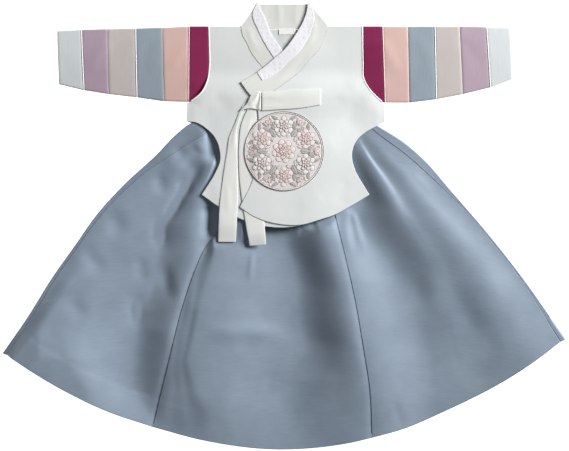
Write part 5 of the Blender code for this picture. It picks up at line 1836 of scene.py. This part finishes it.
    def stitched(self, thread: str, shapes: list[tuple[np.ndarray, np.ndarray]]) -> bpy.types.Object:
        """All the shapes of one thread as one closed mesh with its own UV."""
        points, faces, spots = [], [], []
        count = 0
        for grid, uv in shapes:
            rows, columns = grid.shape[:2]
            x, y = self.centre[0] + grid[..., 0], self.centre[1] + grid[..., 1]
            top = np.dstack([x, y, self.level(x, y) + self.wall - STITCH_ROOT + grid[..., 2]])
            at = count + np.arange(rows * columns).reshape(rows, columns)
            rim = np.concatenate([at[0], at[1:, -1], at[-1, -2::-1], at[-2:0:-1, 0]])
            faces += quads(at) + [tuple(rim.tolist())]
            points.append(top.reshape(-1, 3))
            spots.append(uv.reshape(-1, 2))
            count += rows * columns
        made = make_mesh(f"medallion_{thread}_stitches", np.vstack(points), faces, THREADS[thread], 80.0)
        layer = made.data.uv_layers.new(name="UVMap")
        places = np.vstack(spots)
        index = np.empty(len(made.data.loops), int)
        made.data.loops.foreach_get("vertex_index", index)
        layer.data.foreach_set("uv", places[index].ravel())
        return made


# ---- Studio ----------------------------------------------------------------
WHITE = (1.0, 1.0, 1.0, 1.0)
# Name, place, size and power of each light.
LIGHTS = (("key_light", (4.18, 2.13, 2.1), 1.9, 520.0), ("fill_light", (-2.0, 1.4, 3.8), 2.4, 12.0))
SENSOR_WIDTH = 36.0


@dataclass
class Studio:
    """A pale floor, soft light and a camera straight above.

    Attributes:
        frame_width: Width of floor across the image, in metres.
        lens: Focal length, in millimetres.
        aim: Where the middle of the image is.
    """

    frame_width: float = 0.868
    lens: float = 85.0
    aim: Point = (0.0, 0.0)

    def build(self) -> None:
        """Make the floor, the lights, the world and the camera."""
        bpy.ops.object.select_all(action="DESELECT")
        bpy.ops.mesh.primitive_plane_add(size=8.0, location=(0.0, 0.0, -0.0004))
        floor = bpy.context.object
        floor.name = "studio_floor"
        bpy.ops.object.transform_apply(location=True, rotation=True, scale=True)
        graph = Graph("floor_paper")
        tone = graph.noise((0.5, 0.5, 0.5)).held(0.2, 0.8)
        graph.principled(Base_Color=graph.mix(tone, (0.93, 0.93, 0.93), (0.96, 0.96, 0.96)), Roughness=0.9,
                         Emission_Color=WHITE, Emission_Strength=1.1)
        floor.data.materials.append(graph.material)
        for light in LIGHTS:
            self.light(*light)
        world = bpy.data.worlds.new("studio_world")
        world.use_nodes = True
        sky = world.node_tree.nodes["Background"].inputs
        sky["Color"].default_value, sky["Strength"].default_value = WHITE, 0.09
        bpy.context.scene.world = world
        bpy.context.scene.view_settings.view_transform = "Standard"
        self.camera()

    def light(self, name: str, place: tuple[float, float, float], size: float, power: float) -> None:
        """One square soft light that faces the garment."""
        bpy.ops.object.light_add(type="AREA", location=place)
        lamp = bpy.context.object
        lamp.name = name
        lamp.data.size = size
        lamp.data.energy = power
        away = -np.array(place)
        lamp.rotation_euler = (math.atan2(math.hypot(away[0], away[1]), -away[2]), 0.0,
                               math.atan2(away[1], away[0]) - math.pi / 2)

    def camera(self) -> None:
        """A long lens straight above the garment."""
        distance = self.frame_width * self.lens / SENSOR_WIDTH
        bpy.ops.object.camera_add(location=(*self.aim, distance + 0.008), rotation=(0.0, 0.0, 0.0))
        camera = bpy.context.object
        camera.name = "studio_camera"
        camera.data.lens = self.lens
        camera.data.sensor_width = SENSOR_WIDTH
        bpy.context.scene.camera = camera


RIGHT_SLEEVE_CREASES = (
    Crease([(-140, 286), (-160, 262), (-176, 232)], 0.5, (7, 10)),
    Crease([(-200, 288), (-214, 250), (-210, 214)], -0.4, (8, 12)),
    Crease([(-262, 284), (-284, 262), (-300, 226)], 0.45, (8, 12)),
    Crease([(-120, 250), (-136, 228), (-152, 206)], 0.6, (5, 9)))
LEFT_SLEEVE_CREASES = (
    Crease([(142, 290), (160, 262), (172, 226)], 0.5, (7, 10)),
    Crease([(204, 292), (220, 256), (214, 214)], 0.4, (8, 12)),
    Crease([(262, 288), (286, 266), (306, 232)], -0.4, (8, 12)),
    Crease([(126, 250), (142, 226), (158, 204)], 0.6, (5, 9)))


def main() -> None:
    """Build the studio and every piece of the hanbok, in order."""
    logging.basicConfig(level=logging.INFO, format="%(message)s")
    Studio().build()
    Chima().build()
    Jeogori().build()
    Collar().build()
    Sleeve("right", SLEEVE_RIGHT, ARMHOLE_RIGHT, -1, RIGHT_SLEEVE_CREASES).build()
    Sleeve("left", SLEEVE_LEFT, ARMHOLE_LEFT, 1, LEFT_SLEEVE_CREASES).build()
    Goreum().build()
    Medallion().build()


if __name__ == "__main__":
    main()
